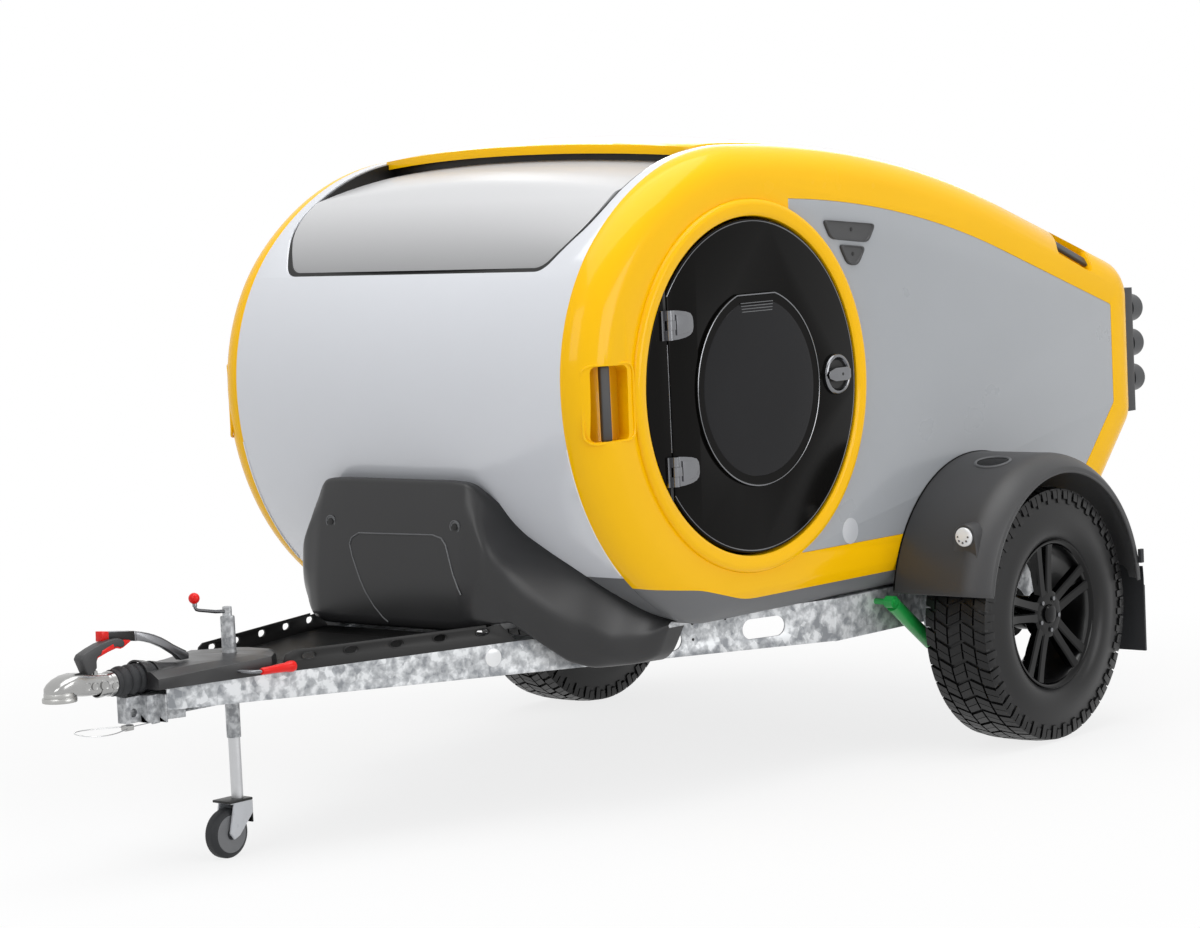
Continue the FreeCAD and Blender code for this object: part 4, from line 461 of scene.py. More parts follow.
# finish, then inset and place across, from the frame's outer edge in to the middle of the pane
GLAZING = (
    (0, ((0.02, 0.7), (0, 0.7202), (0, 0.7245), (0.0015, 0.7272))),
    # a thin satin ridge near the frame's outer edge: a painted highlight
    (1, ((0.0015, 0.7272), (0.0032, 0.7278), (0.0048, 0.7272))),
    (0, ((0.0048, 0.7272), (0.007, 0.7255), (0.029, 0.725))),
    (2, ((0.029, 0.725), (0.0305, 0.7262), (0.04, 0.7268), (0.14, 0.7272), (0.25, 0.7273))),
)
# the top slat's height above the pane's middle and half length, and what they lose from slat to slat
SLAT_TOP, SLAT_HALF, SLAT_PITCH, SLAT_TAPER = 0.236, 0.072, 0.008, 0.0015
HINGE_HEIGHTS = (1.327, 0.933)
PADDLE = ((0.4155, 0.04), (0.395, 0.0385), (0.36, 0.034), (0.341, 0.0285), (0.3325, 0.019), (0.33, 0.006),
          (0.33, -0.01), (0.334, -0.022), (0.345, -0.0305), (0.365, -0.036), (0.395, -0.0395),
          (0.4155, -0.04))
PADDLE_FACE = ((0.405, 0.028), (0.36, 0.024), (0.343, 0.014), (0.341, -0.01), (0.352, -0.022),
               (0.405, -0.028))
LOCK = (-0.3165, 0, 1.141)
LOCK_HANDLE = ((-0.3625, 0.012), (-0.352, 0.019), (-0.292, 0.019), (-0.276, 0.014),
               (-0.2645, 0.01), (-0.26, 0))


def window_ring(inset, y):
    """The door window's outline: a circle with a flat across its top."""
    for c, s in circle(120):
        radius = PANE_RADIUS - inset
        if s > 0:
            radius = min(radius, (PANE_TOP - inset) / s)
        yield WINDOW[0] + radius * c, y, WINDOW[1] + radius * s


for side, sign in SIDES:
    pane = Mesh()
    for kind, steps in GLAZING:
        rings = [list(window_ring(*step)) for step in steps]
        pane.grid(rings, kind, caps=False)
    pane.add(rings[-1], [tuple(range(len(rings[-1])))], kind)
    for number in range(4):
        z = WINDOW[1] + SLAT_TOP - number * SLAT_PITCH
        half = SLAT_HALF - number * SLAT_TAPER
        pane.box((WINDOW[0] - half, 0.7262, z - 0.0011), (WINDOW[0] + half, 0.728, z + 0.0011), 3)
    put(f"door_window_{side}_glazed", pane, [GLOSS, SATIN, PANE, RIB],
        [f"door_window_{side}"], (sign,), body=f"cabin_door_{side}")

    fittings = Mesh()
    for height in HINGE_HEIGHTS:
        fittings.prism([(x, height + z) for x, z in PADDLE], 0.7202, 0.7345)
        fittings.prism([(x, height + z) for x, z in PADDLE_FACE], 0.734, 0.7385)
        fittings.lathe([(0.0098, -0.0125), (0.0098, 0.0125)], (0.4275, 0.731, height), UP, 0, 24)
        fittings.box((0.411, 0.7205, height - 0.0125), (0.4275, 0.7405, height + 0.0125))
        for bolt in (-0.022, 0.022):
            fittings.lathe([(0.0035, 0.7345), (0.0035, 0.7352), (0.0001, 0.7352)],
                           (0.395, 0, height + bolt), ACROSS, 1, 16)
    fittings.lathe([(0.058, 0.7202), (0.058, 0.7275), (0.0555, 0.7315), (0.051, 0.733), (0.0475, 0.7315),
                    (0.0455, 0.727)], LOCK)
    fittings.lathe([(0.0455, 0.727), (0.04, 0.7222), (0.0001, 0.7215)], LOCK, ACROSS, 1, 64)
    handle = [*LOCK_HANDLE, *((x, -z) for x, z in reversed(LOCK_HANDLE[:-1]))]
    fittings.prism([(x, LOCK[2] + z) for x, z in handle], 0.7222, 0.7405)
    fittings.lathe([(0.0045, 0.7405), (0.0045, 0.7412), (0.0001, 0.7412)],
                   (-0.325, 0, LOCK[2]), ACROSS, 1, 16)
    put(f"door_fittings_{side}", fittings, [SATIN, BLACK],
        [f"door_hardware_{side}"], (sign,), 0.0022, 3, body=f"cabin_door_{side}")

    # a thin satin line along most of the door leaf's rim: a painted highlight where the leaf's edge catches
    # light
    line = Mesh()
    edge = [(x, 0.7195, z) for x, z in arc_points((DOOR[0], DOOR[2]), 0.4555, 36, 324, 120)]
    line.tube(edge, 0.0016, 0, 6)
    put(f"door_edge_painted_highlight_{side}", line, [SATIN], sides=(sign,), body=f"cabin_door_{side}")

posts = Mesh()
posts.tube([(0.4282, 0.72, 0.985), (0.4282, 0.72, 1.275)], 0.0013, 0, 6)
put("door_post_edges", posts, [SATIN], sides=BOTH)
stops = Mesh()
for z in (1.395, 0.862):
    stops.box((0.429, 0.7195, z - 0.03), (0.44, 0.7212, z + 0.03))
put("door_post_stops", stops, [BLACK], sides=BOTH, bevel=0.0006)

# ---- wheels

HUB = (centre_of("wheel_left")[0], centre_of("tyre_left")[1], centre_of("wheel_left")[2])
# radius and half width, from the bead out to the tread
TYRE_SIDE = ((0.2125, 0.093), (0.2195, 0.093), (0.223, 0.0945), (0.2275, 0.101), (0.234, 0.1075),
             (0.243, 0.113), (0.254, 0.1162), (0.266, 0.1174), (0.279, 0.1168), (0.292, 0.1148),
             (0.305, 0.1118), (0.318, 0.1085), (0.328, 0.1062), (0.34, 0.104), (0.35, 0.101), (0.36, 0.0955),
             (0.366, 0.0885), (0.369, 0.078))
# from, to across the tyre, and how far a block leans round it, as a share of a pitch
COLUMNS = ((-0.104, -0.07, 0.14), (-0.064, -0.0265, 0.42), (-0.0205, 0.0205, -0.42), (0.0265, 0.064, 0.42),
           (0.07, 0.104, 0.14))
PITCHES = 40
# half width and height of the tread across the tyre, how far it drops to the shoulder, and how suddenly
TREAD_HALF, TREAD_TOP, TREAD_DROP, TREAD_POWER = 0.104, 0.3788, 0.0075, 3.2
# start and end of the blocks in a pitch, and of the shoulder lugs with their inner radius
BLOCKS = ((0.05, 0.43), (0.47, 0.86))
LUGS = ((0.05, 0.4, 0.33), (0.47, 0.83, 0.343))
# finish, facets round, then radius and place across: rim flange, barrel, cap, hub, brake drum's face and side
TURNED = (
    (0, 96, ((0.214, 0.0935), (0.219, 0.0946), (0.2202, 0.0966), (0.2188, 0.0984), (0.215, 0.0984),
             (0.2118, 0.0966), (0.208, 0.093), (0.2062, 0.09), (0.2045, 0.087))),
    (1, 96, ((0.2045, 0.087), (0.199, 0.078), (0.1965, 0.05), (0.195, 0.0), (0.1945, -0.085), (0.204, -0.102),
             (0.219, -0.105))),
    (0, 48, ((0.0001, 0.0935), (0.016, 0.093), (0.025, 0.09), (0.0285, 0.085), (0.029, 0.078))),
    (0, 64, ((0.029, 0.08), (0.042, 0.079), (0.06, 0.08), (0.07, 0.077), (0.072, 0.065), (0.07, 0.04),
             (0.05, 0.02), (0.05, -0.06))),
    (2, 64, ((0.125, -0.11), (0.1245, -0.108), (0.076, -0.1075), (0.074, -0.048), (0.0001, -0.048))),
    (2, 64, ((0.125, -0.11), (0.125, -0.176), (0.0001, -0.177))),
)
# radius, place beside the pair's middle line, half width, face across the wheel and depth of a spoke
SPOKE = ((0.04, 0.015, 0.0155, 0.079, 0.02), (0.085, 0.0185, 0.015, 0.0805, 0.026),
         (0.125, 0.0215, 0.0145, 0.0835, 0.03), (0.165, 0.025, 0.0145, 0.087, 0.03),
         (0.199, 0.029, 0.016, 0.0905, 0.028), (0.2075, 0.031, 0.0175, 0.092, 0.024))
SPOKE_PAIRS, FIRST_PAIR, BOLT_CIRCLE = 5, 82, 0.049


def tread_radius(y):
    """Height of the tread blocks across the tyre."""
    return TREAD_TOP - TREAD_DROP * (abs(y) / TREAD_HALF) ** TREAD_POWER


def tyre_mesh():
    """The near tyre about its middle: its round body, the tread blocks and the shoulder lugs."""
    made = Mesh()
    sides = [*TYRE_SIDE, (0.3708, 0.04), (0.371, 0.0)]
    profile = sides + [(radius, -y) for radius, y in reversed(sides[:-1])]
    made.lathe(profile, segments=144)
    step = 2 * math.pi / PITCHES
    for column, (low, high, skew) in enumerate(COLUMNS):
        for number in range(PITCHES):
            base = step * (number + (0.5 if column % 2 else 0.0))
            for start, end in BLOCKS:
                corners = []
                for y, share in ((low, start), (high, start), (high, end), (low, end)):
                    wave = skew * (y - low) / (high - low) + (0.1 if (y == high) == (column % 2 == 0) else 0)
                    corners.append((base + step * (share + wave), y))
                outer = [(tread_radius(y), a, y) for a, y in corners]
                inner = [(0.367 if abs(y) < 0.09 else 0.354, a, y) for a, y in corners]
                points = [(r * math.sin(a), y, r * math.cos(a)) for r, a, y in inner + outer]
                made.add(points, [(4, 5, 6, 7), (0, 1, 5, 4), (1, 2, 6, 5), (2, 3, 7, 6), (3, 0, 4, 7)])
    for sign in (1, -1):
        for number in range(PITCHES):
            for start, end, depth in LUGS:
                section = ((0.3715, 0.103), (0.364, 0.1075), (depth, 0.1095), (depth, 0.098), (0.36, 0.094))
                rings = []
                for along in (start, end):
                    angle = step * (number + along + 0.15)
                    rings.append([(radius * math.sin(angle), sign * y, radius * math.cos(angle))
                                  for radius, y in section])
                made.grid(rings)
    return made


def wheel_mesh():
    """The near wheel about the tyre's middle: its turned parts, five pairs of spokes and five bolts."""
    made = Mesh()
    for kind, segments, profile in TURNED:
        made.lathe(profile, kind=kind, segments=segments)
    for number in range(SPOKE_PAIRS):
        turn = math.radians(FIRST_PAIR + 360 / SPOKE_PAIRS * number)
        for arm in (-1, 1):
            rings = []
            for radius, offset, half, top, deep in SPOKE:
                ring = []
                for across, level in ((-half, top - 0.004), (-half + 0.004, top), (half - 0.004, top),
                                      (half, top - 0.004), (half - 0.003, top - deep),
                                      (-half + 0.003, top - deep)):
                    side = arm * offset + across
                    ring.append((radius * math.cos(turn) - side * math.sin(turn), level,
                                 radius * math.sin(turn) + side * math.cos(turn)))
                rings.append(ring)
            made.grid(rings)
        bolt = math.radians(FIRST_PAIR + 360 / SPOKE_PAIRS * (number + 0.5))
        at = (BOLT_CIRCLE * math.cos(bolt), 0, BOLT_CIRCLE * math.sin(bolt))
        made.lathe([(0.0115, 0.08), (0.0105, 0.077), (0.0001, 0.0765)], at, ACROSS, 2, 20)
        made.lathe([(0.007, 0.077), (0.0065, 0.084), (0.0001, 0.085)], at, ACROSS, 3, 12)
    return made


for side, sign in SIDES:
    for name, made, finish, slot, part in (
            ("tyre_treaded", tyre_mesh(), [TYRE], "tyre", "tyre"),
            ("wheel_spoked", wheel_mesh(), [ALLOY, BARREL, BLACK, SATIN], "alloy", "wheel")):
        made.points = [tuple(a + b for a, b in zip(point, HUB)) for point in made.points]
        put(f"{name}_{side}", made, finish, [f"{part}_{side}"], (sign,), smooth=30,
            body=f"road_wheel_{side}")

# ---- mudguards and marker lamps

ARCH = (-0.9995, 0.412)
ARCH_RADIUS = 0.4442
RECESS = (-0.88, 0.862)
RECESS_HALF = (0.04, 0.056)
LAMP_AT = Vector((-0.599, 0.945, 0.65))
LAMP_FACE = Vector((0.99, 0.05, 0.12)).normalized()
LAMP_HOOD = ((-0.6015, 0.031), (-0.6, 0.0345), (-0.603, 0.0375), (-0.69, 0.0385))


def arch_top(x):
    """Height of the mudguard's outer face."""
    return ARCH[1] + math.sqrt(ARCH_RADIUS ** 2 - (x - ARCH[0]) ** 2)


guard = Mesh()
guard.tube([(x, 1.0275, z) for x, z in arc_points(ARCH, 0.3895, 10, 176, 96)], 0.0042, 0, 10)
guard.tube([(x, 0.7155, z) for x, z in arc_points(ARCH, 0.4445, 10, 176, 96)], 0.0022, 1, 6)
oval = []
for c, s in circle(48):
    x = RECESS[0] + RECESS_HALF[0] * c
    oval.append((x, RECESS[1] + RECESS_HALF[1] * s, arch_top(x)))
# the recess on the mudguard's top: a real lip, and its lighter grey is a painted highlight
guard.tube(oval, 0.0045, 2, 8, True)
# a flat black disc laid on the surface: painted shade for the recess's hollow
recess_shade_disc = [(x, y, z + 0.0008) for x, y, z in ((*RECESS, arch_top(RECESS[0])), *oval)]
guard.add(recess_shade_disc, [(0, i + 1, (i + 1) % 48 + 1) for i in range(48)], 1)
rings = []
for x, reach in LAMP_HOOD:
    ring = [(x, y, z) for y, z in arc_points(LAMP_AT.yz, reach, 0, 180, 24)]
    foot = 0.592 + LAMP_HOOD[-1][1] - reach
    rings.append(ring + [(x, LAMP_AT.y - reach - 0.003, foot), (x, LAMP_AT.y + reach + 0.006, foot - 0.006)])
guard.grid(rings)
put("mudguard_edges", guard, [TRIM, GLOSS, RIB], sides=BOTH)
marker = Mesh()
marker.lathe([(0.028, -0.004), (0.028, 0.0035), (0.0255, 0.0065), (0.018, 0.0078), (0.0001, 0.0082)], LAMP_AT,
             LAMP_FACE, 0, 40)
side = Vector((-0.05, 0.99, 0)).normalized()
other = LAMP_FACE.cross(side).normalized()
for c, s in circle(8):
    spot = LAMP_AT + LAMP_FACE * 0.0078 + side * (0.017 * c) + other * (0.017 * s)
    marker.lathe([(0.0035, -0.001), (0.0035, 0.0008), (0.0001, 0.001)], spot, LAMP_FACE, 1, 10)
marker.prism([(-1.408, 0.486), (-1.391, 0.486), (-1.391, 0.528), (-1.408, 0.528)], 1.03, 1.0415, 2)
put("marker_lenses", marker, [LENS, SATIN, RUBBER], ["marker_lamps"], BOTH, 0.001)

# ---- front console

# place across, then (along, up) of the section's corners: top, upper, fullest and lower front, underside
CONSOLE = (
    (0.0, ((0.7635, 0.932), (0.7835, 0.85), (0.8145, 0.64), (0.8125, 0.524), (0.5165, 0.5))),
    (0.2, ((0.7635, 0.932), (0.7835, 0.85), (0.8145, 0.64), (0.8125, 0.524), (0.5165, 0.5))),
    (0.262, ((0.7615, 0.926), (0.7825, 0.85), (0.814, 0.64), (0.8115, 0.526), (0.5165, 0.5))),
    (0.305, ((0.7415, 0.892), (0.7815, 0.83), (0.806, 0.64), (0.802, 0.536), (0.5165, 0.5))),
    (0.34, ((0.665, 0.812), (0.785, 0.775), (0.793, 0.65), (0.775, 0.545), (0.5165, 0.51))),
    (0.365, ((0.6345, 0.775), (0.772, 0.722), (0.773, 0.63), (0.745, 0.545), (0.5, 0.52))),
    (0.389, ((0.6195, 0.752), (0.75, 0.684), (0.745, 0.6), (0.7065, 0.52), (0.6065, 0.5))),
    (0.424, ((0.5925, 0.72), (0.698, 0.614), (0.684, 0.545), (0.6265, 0.455), (0.4865, 0.43))),
    (0.455, ((0.5705, 0.69), (0.648, 0.563), (0.628, 0.495), (0.5765, 0.415), (0.3785, 0.405))),
    (0.49, ((0.5305, 0.652), (0.582, 0.518), (0.561, 0.455), (0.5165, 0.398), (0.3165, 0.393))),
    (0.541, ((0.4485, 0.584), (0.505, 0.48), (0.4865, 0.432), (0.4365, 0.4), (0.2965, 0.395))),
    (0.571, ((0.3645, 0.534), (0.412, 0.478), (0.4, 0.442), (0.3665, 0.412), (0.2865, 0.415))),
    (0.606, ((0.326, 0.508), (0.337, 0.5), (0.337, 0.496), (0.335, 0.492), (0.27, 0.491))),
)
CONSOLE_CORNER = 0.03


def console_ring(corners):
    """The console's section at one place across, its corners rounded."""
    x, z = corners[0]
    path = [(x - 0.035, z - 0.004), *corners]
    made = [path[0]]
    for trio in zip(path, path[1:], path[2:]):
        made += ease(*trio, CONSOLE_CORNER, 0.46)
    return made + [path[-1]]


def console_mesh():
    """Half of the console: its sections joined smoothly across, with no overshoot between them."""
    stations = np.array([station for station, _ in CONSOLE])
    table = np.array([corners for _, corners in CONSOLE])
    slopes = np.zeros_like(table)
    runs = np.diff(table, axis=0) / np.diff(stations)[:, None, None]
    slopes[1:-1] = np.where(runs[1:] * runs[:-1] > 0,
                            2 * runs[1:] * runs[:-1] / (runs[1:] + runs[:-1] + 1e-12), 0)
    slopes[-1] = runs[-1]
    rings = []
    for y in np.concatenate([np.linspace(0, 0.24, 7), np.linspace(0.255, 0.606, 58)]):
        k = min(int(np.searchsorted(stations, y, side="right")) - 1, len(stations) - 2)
        width = stations[k + 1] - stations[k]
        t = (y - stations[k]) / width
        corners = (table[k] * (2 * t ** 3 - 3 * t ** 2 + 1) + slopes[k] * width * (t ** 3 - 2 * t ** 2 + t)
                   + table[k + 1] * (3 * t ** 2 - 2 * t ** 3) + slopes[k + 1] * width * (t ** 3 - t ** 2))
        rings.append([(x, y, z) for x, z in console_ring([tuple(c) for c in corners])])
    made = Mesh()
    made.grid(rings, closed=False)
    return made


def front_face_x(z):
    """The console's front face at a height."""
    _, upper, full, lower, _ = CONSOLE[0][1]
    return float(np.interp(z, (lower[1], full[1], upper[1]), (lower[0], full[0], upper[0])))


put("console_moulding", console_mesh(), [MOULDED], ["front_console"], BOTH, smooth=50)

GROOVE_OUTER = ((-0.148, 0.748), (-0.142, 0.766), (-0.115, 0.78), (0.168, 0.784), (0.2, 0.776),
                (0.217, 0.758), (0.248, 0.684), (0.291, 0.609))
GROOVE_INNER = ((-0.148, 0.748), (-0.135, 0.715), (-0.122, 0.691), (-0.1, 0.652), (-0.081, 0.62),
                (-0.05, 0.58), (-0.017, 0.55), (0.0, 0.54))
FACE_TILT = (0.99, 0, 0.147)
groove = Mesh()
path = []
for (y0, z0), (y1, z1) in zip(GROOVE_OUTER, GROOVE_OUTER[1:]):
    for k in range(4):
        y, z = y0 + (y1 - y0) * k / 4, z0 + (z1 - z0) * k / 4
        path.append((front_face_x(z) + 0.0005, y, z))
groove.tube(path, 0.0022, 0, 8)
groove.tube([(front_face_x(z) + 0.0004, y, z) for y, z in GROOVE_INNER], 0.0018, 0, 8)
for y, z in ((-0.227, 0.808), (0.247, 0.808)):
    groove.lathe([(0.0185, -0.003), (0.0185, 0.0008), (0.016, 0.0014), (0.015, -0.0006), (0.0001, -0.001)],
                 (front_face_x(z), y, z), FACE_TILT, 0, 32)
    groove.lathe([(0.01, -0.001), (0.0095, 0.0018), (0.0001, 0.0024)], (front_face_x(z), y, z),
                 FACE_TILT, 1, 20)
put("console_grooves", groove, [RIB, BLACK])

# ---- cargo tray

RAIL_REAR, RAIL_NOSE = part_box("drawbar_rail_left")
NOSE_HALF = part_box("nose_bracket")[1][1]
RAIL_SLOPE = (RAIL_NOSE[1] - NOSE_HALF) / (RAIL_REAR[0] - RAIL_NOSE[0])
MAT_START, MAT_END, MAT_PITCH = 0.7, 1.366, 0.0125
# the stretch of the mat where the tray's floor lies higher
RAISED_START, RAISED_END = 0.815, 1.262
HOLE_SHARES = (0.107, 0.284, 0.479, 0.668, 0.856)


def rail_y(x):
    """Place across of the drawbar rail's outer face."""
    return NOSE_HALF + (x - RAIL_NOSE[0]) * RAIL_SLOPE


mat = Mesh()
x = MAT_START
while x < MAT_END:
    half = rail_y(x) - 0.012
    low = 0.4943 if RAISED_START <= x <= RAISED_END else 0.4935
    mat.box((x, -half, low), (x + 0.0065, half, low + 0.0042))
    x += MAT_PITCH
put("tray_mat", mat, [BLACK])

edges = Mesh()
for share in HOLE_SHARES:
    at_x = 1.375 - share * 0.68
    ring = [(at_x + 0.0215 * c, rail_y(at_x) + 0.0012 + 0.0215 * c * RAIL_SLOPE, 0.526 + 0.0105 * s)
            for c, s in circle(28)]
    edges.tube(ring, 0.0012, 0, 6, True)
put("tray_hole_edges", edges, [BLACK], sides=BOTH)

# ---- coupling, bellows and levers

SHAFT_LINE = (0, 0, centre_of("bellows")[2])
BALL_CUP = (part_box("coupling_head")[1][0] - 0.044, 0, 0.492)
# along, half width, low and high of the casting's sections, and how square they are: 1 is an ellipse
CASTING = (
    (2.0275, 0.006, 0.512, 0.517), (2.0245, 0.018, 0.508, 0.5245), (2.017, 0.0275, 0.505, 0.5335),
    (2.006, 0.0335, 0.503, 0.5415), (1.99, 0.0365, 0.503, 0.55), (1.97, 0.037, 0.503, 0.5565),
    (1.948, 0.0355, 0.5, 0.559), (1.928, 0.0315, 0.497, 0.557), (1.908, 0.0285, 0.495, 0.553),
    (1.885, 0.0272, 0.494, 0.548), (1.86, 0.027, 0.494, 0.545), (1.844, 0.0265, 0.495, 0.543),
)
SQUARENESS = 0.62
head = Mesh()
head.lathe([(0.0001, 0.0), (0.03, 0.0), (0.0435, 0.0), (0.044, 0.002), (0.044, 0.0095), (0.0425, 0.012),
            (0.0395, 0.0125), (0.0392, 0.014), (0.0395, 0.015), (0.0395, 0.0215), (0.038, 0.024),
            (0.034, 0.025)], BALL_CUP, UP, 1, 72)
rings = []
for x, half, low, high in CASTING:
    level, tall = (low + high) / 2, (high - low) / 2
    rings.append([(x, half * math.copysign(abs(c) ** SQUARENESS, c),
                   level + tall * math.copysign(abs(s) ** SQUARENESS, s)) for c, s in circle(36)])
head.grid(rings)
head.lathe([(0.03, 1.8205), (0.0318, 1.8215), (0.0318, 1.834), (0.03, 1.835), (0.0296, 1.856), (0.031, 1.857),
            (0.031, 1.87), (0.0285, 1.872)], SHAFT_LINE, ALONG, 0, 48)
for sign in (1, -1):
    for x, z, radius in ((1.923, 0.5215, 0.012), (1.896, 0.5195, 0.0105), (1.864, 0.5175, 0.0125),
                         (1.83, 0.512, 0.0105)):
        start = 0.0265 if x > 1.85 else 0.027
        head.lathe([(radius, sign * start), (radius, sign * (start + 0.0042)),
                    (radius - 0.002, sign * (start + 0.0055)), (radius - 0.0045, sign * (start + 0.005)),
                    (0.0001, sign * (start + 0.0048))], (x, 0, z), ACROSS, 0, 24)
head.lathe([(0.006, 0.544), (0.006, 0.556), (0.004, 0.557), (0.0001, 0.5572)], (1.88, 0.012, 0), UP, 0, 16)
put("coupling_casting", head, [CAST, BRUSHED], ["coupling_head"], smooth=40)

FOLDS, FOLD_STEPS = 4, 60
profile = [(0.0225, 1.6877)]
for i in range(FOLD_STEPS + 1):
    share = i / FOLD_STEPS
    fold = abs(math.sin(math.pi * share * FOLDS))
    profile.append((0.033 + 0.0068 * fold ** 0.55, 1.688 + 0.118 * share))
profile += [(0.0345, 1.8062), (0.0345, 1.819), (0.0325, 1.8203), (0.0225, 1.8204)]
put("bellows_folds", Mesh().lathe(profile, SHAFT_LINE, ALONG), [RUBBER], ["bellows"])

GRIP_HALF = 0.0165
grip = Mesh()
grip.prism([(1.906, 0.546), (1.926, 0.59), (1.918, 0.601), (1.888, 0.6125), (1.858, 0.6215), (1.825, 0.627),
            (1.799, 0.6275), (1.783, 0.622), (1.779, 0.613), (1.781, 0.604), (1.793, 0.6035), (1.805, 0.6075),
            (1.835, 0.601), (1.87, 0.59), (1.8745, 0.578), (1.8745, 0.562), (1.888, 0.55)],
           -GRIP_HALF, GRIP_HALF)
put("coupling_grip", grip, [TRIM], ["coupling_handle"], bevel=0.004, segments=3)
under = Mesh()
under.prism([(1.76, 0.618), (1.759, 0.6145), (1.784, 0.602), (1.793, 0.6), (1.806, 0.6035), (1.834, 0.5975),
             (1.869, 0.587), (1.8735, 0.58), (1.876, 0.58), (1.872, 0.5915), (1.836, 0.6035), (1.806, 0.61),
             (1.78, 0.62)], -0.0135, 0.0135)
under.prism([(1.815, 0.606), (1.86, 0.595), (1.856, 0.604), (1.819, 0.616)], 0.0163, 0.0169)
put("coupling_grip_red", under, [RED], bevel=0.0012)

lever = Mesh()
top = ((1.548, 0.554), (1.556, 0.56), (1.5746, 0.5695), (1.601, 0.5835), (1.62, 0.5955), (1.6401, 0.6065),
       (1.662, 0.616), (1.6795, 0.6222), (1.7058, 0.6295), (1.729, 0.6345))
low = ((1.729, 0.611), (1.7, 0.606), (1.6811, 0.6005), (1.664, 0.595), (1.6483, 0.588), (1.63, 0.5795),
       (1.6155, 0.571), (1.599, 0.5605), (1.5893, 0.554), (1.576, 0.54), (1.548, 0.54))
lever.prism(top + low, -0.024, -0.004, 0)
strip = [(x, z - 0.0015) for x, z in top[1:]] + [(x, z + 0.0018) for x, z in reversed(top[1:])]
lever.prism(strip, -0.025, -0.003, 1)
lever.prism([(1.729, 0.6105), (1.729, 0.6345), (1.816, 0.644), (1.816, 0.622)], -0.0255, -0.0025, 2)
lever.prism([(1.729, 0.6345), (1.729, 0.6365), (1.816, 0.646), (1.816, 0.644)], -0.025, -0.003, 1)
lever.prism([(1.816, 0.6205), (1.816, 0.6465), (1.839, 0.6485), (1.84, 0.6225)], -0.0262, -0.0018, 3)
lever.prism([(1.723, 0.6095), (1.723, 0.635), (1.73, 0.6358), (1.73, 0.6103)], -0.0258, -0.0022, 1)
put("handbrake", lever, [LEVER, SATIN, BLACK, RED], ["handbrake_lever"], bevel=0.0016)

# ---- jockey wheel

MAST = (centre_of("jockey_leg")[0], 0, 0)
ROLLER_AT = centre_of("jockey_wheel")
mast = Mesh()
mast.lathe([(0.016, 0.313), (0.0185, 0.3131), (0.019, 0.314), (0.019, 0.63), (0.0182, 0.6335),
            (0.013, 0.6342), (0.0125, 0.636), (0.0125, 0.657), (0.0115, 0.6585), (0.0001, 0.6588)],
           MAST, UP, 0, 48)
mast.tube([(1.413, 0, 0.6465), (1.45, 0, 0.65), (1.508, 0, 0.661), (1.517, 0, 0.664), (1.5205, 0, 0.669),
           (1.5222, 0, 0.679)], [0.0052, 0.0048, 0.0044, 0.0044, 0.0044, 0.0044], 1, 12)
mast.lathe([(0.006, 0.672), (0.0062, 0.68), (0.005, 0.682)], (1.5215, 0, 0), UP, 1, 16)
put("jockey_mast", mast, [ZINC_FINE, SATIN], ["jockey_tube"])
put("crank_knob", Mesh().ball((1.5225, 0, 0.694), 0.0148), [RED])
clamp = Mesh()
clamp.tube([(1.505, 0.125, 0.51), (1.499, 0.15, 0.5085), (1.493, 0.17, 0.508), (1.486, 0.182, 0.508),
            (1.477, 0.189, 0.508), (1.456, 0.1905, 0.5078)], 0.0046, 1, 12)
clamp.lathe([(0.0001, 0.0), (0.008, 0.0), (0.0095, 0.004), (0.0098, 0.03), (0.0118, 0.07), (0.012, 0.085),
             (0.0145, 0.096), (0.015, 0.106), (0.0135, 0.1135), (0.008, 0.117), (0.0001, 0.1178)],
            (1.477, 0.19, 0.508), (-0.9998, 0.01, -0.012), 0, 32)
put("clamp_grip", clamp, [RED, SATIN], ["clamp_handle"])

cover = Mesh()
cover.box((1.385, -0.0325, 0.146), (1.469, 0.0325, 0.1528))
cover.box((1.3835, -0.03, 0.086), (1.388, 0.03, 0.148))
put("fork_cover", cover, [BLACK], bevel=0.0015, body="jockey_swivel_fork")
roller = Mesh()
for sign in (1, -1):
    roller.lathe([(0.05, sign * 0.0208), (0.049, sign * 0.0222), (0.044, sign * 0.0218),
                  (0.018, sign * 0.0222), (0.015, sign * 0.0212)], ROLLER_AT)
put("roller_faces", roller, [ROLLER], body="jockey_roller")

# ---- edges, caps and small fittings

# along, and place across of the side frame's face where it turns in towards the front shell
FRAME_FACE = ((0.54, 0.713), (0.64, 0.713), (0.66, 0.712), (0.7, 0.699), (0.72, 0.685), (0.74, 0.66))
MOUTH = ((0.568, 1.036), (0.73, 1.03), (0.732, 1.24), (0.568, 1.24))
# middle and radius of the front shell's foot in the side view, and where the bead on it starts and ends
SHELL, SHELL_RADIUS, BEAD_LOW, BEAD_HIGH = (0.0385, 1.17), 0.7155, 0.662, 1.02

lip = Mesh()
faces = [(x, float(np.interp(x, *zip(*FRAME_FACE))), z) for x, z in round_corners(MOUTH, 0.03, 6)]
lip.tube([(x, y + 0.0005, z) for x, y, z in faces], 0.0042, 0, 10, True)
put("grab_lips", lip, [YELLOW], sides=BOTH)

bead = Mesh()
heights = [BEAD_LOW + i * (BEAD_HIGH - BEAD_LOW) / 40 for i in range(41)]
line = [(SHELL[0] + math.sqrt(SHELL_RADIUS ** 2 - (SHELL[1] - z) ** 2), 0.6172, z) for z in heights]
bead.tube(line, 0.0021, 0, 8)
put("shell_beads", bead, [LENS], sides=BOTH)

caps = Mesh()
caps.lathe([(0.0375, 0.7125), (0.0372, 0.7138), (0.0355, 0.7143), (0.0001, 0.7144)],
           (-0.3655, 0, 0.686), ACROSS, 0, 48)
put("panel_caps", caps, [CAP], sides=BOTH)
rail_turn = math.atan(RAIL_SLOPE)
outward = Vector((-math.sin(rail_turn), math.cos(rail_turn), 0))
dots = Mesh()
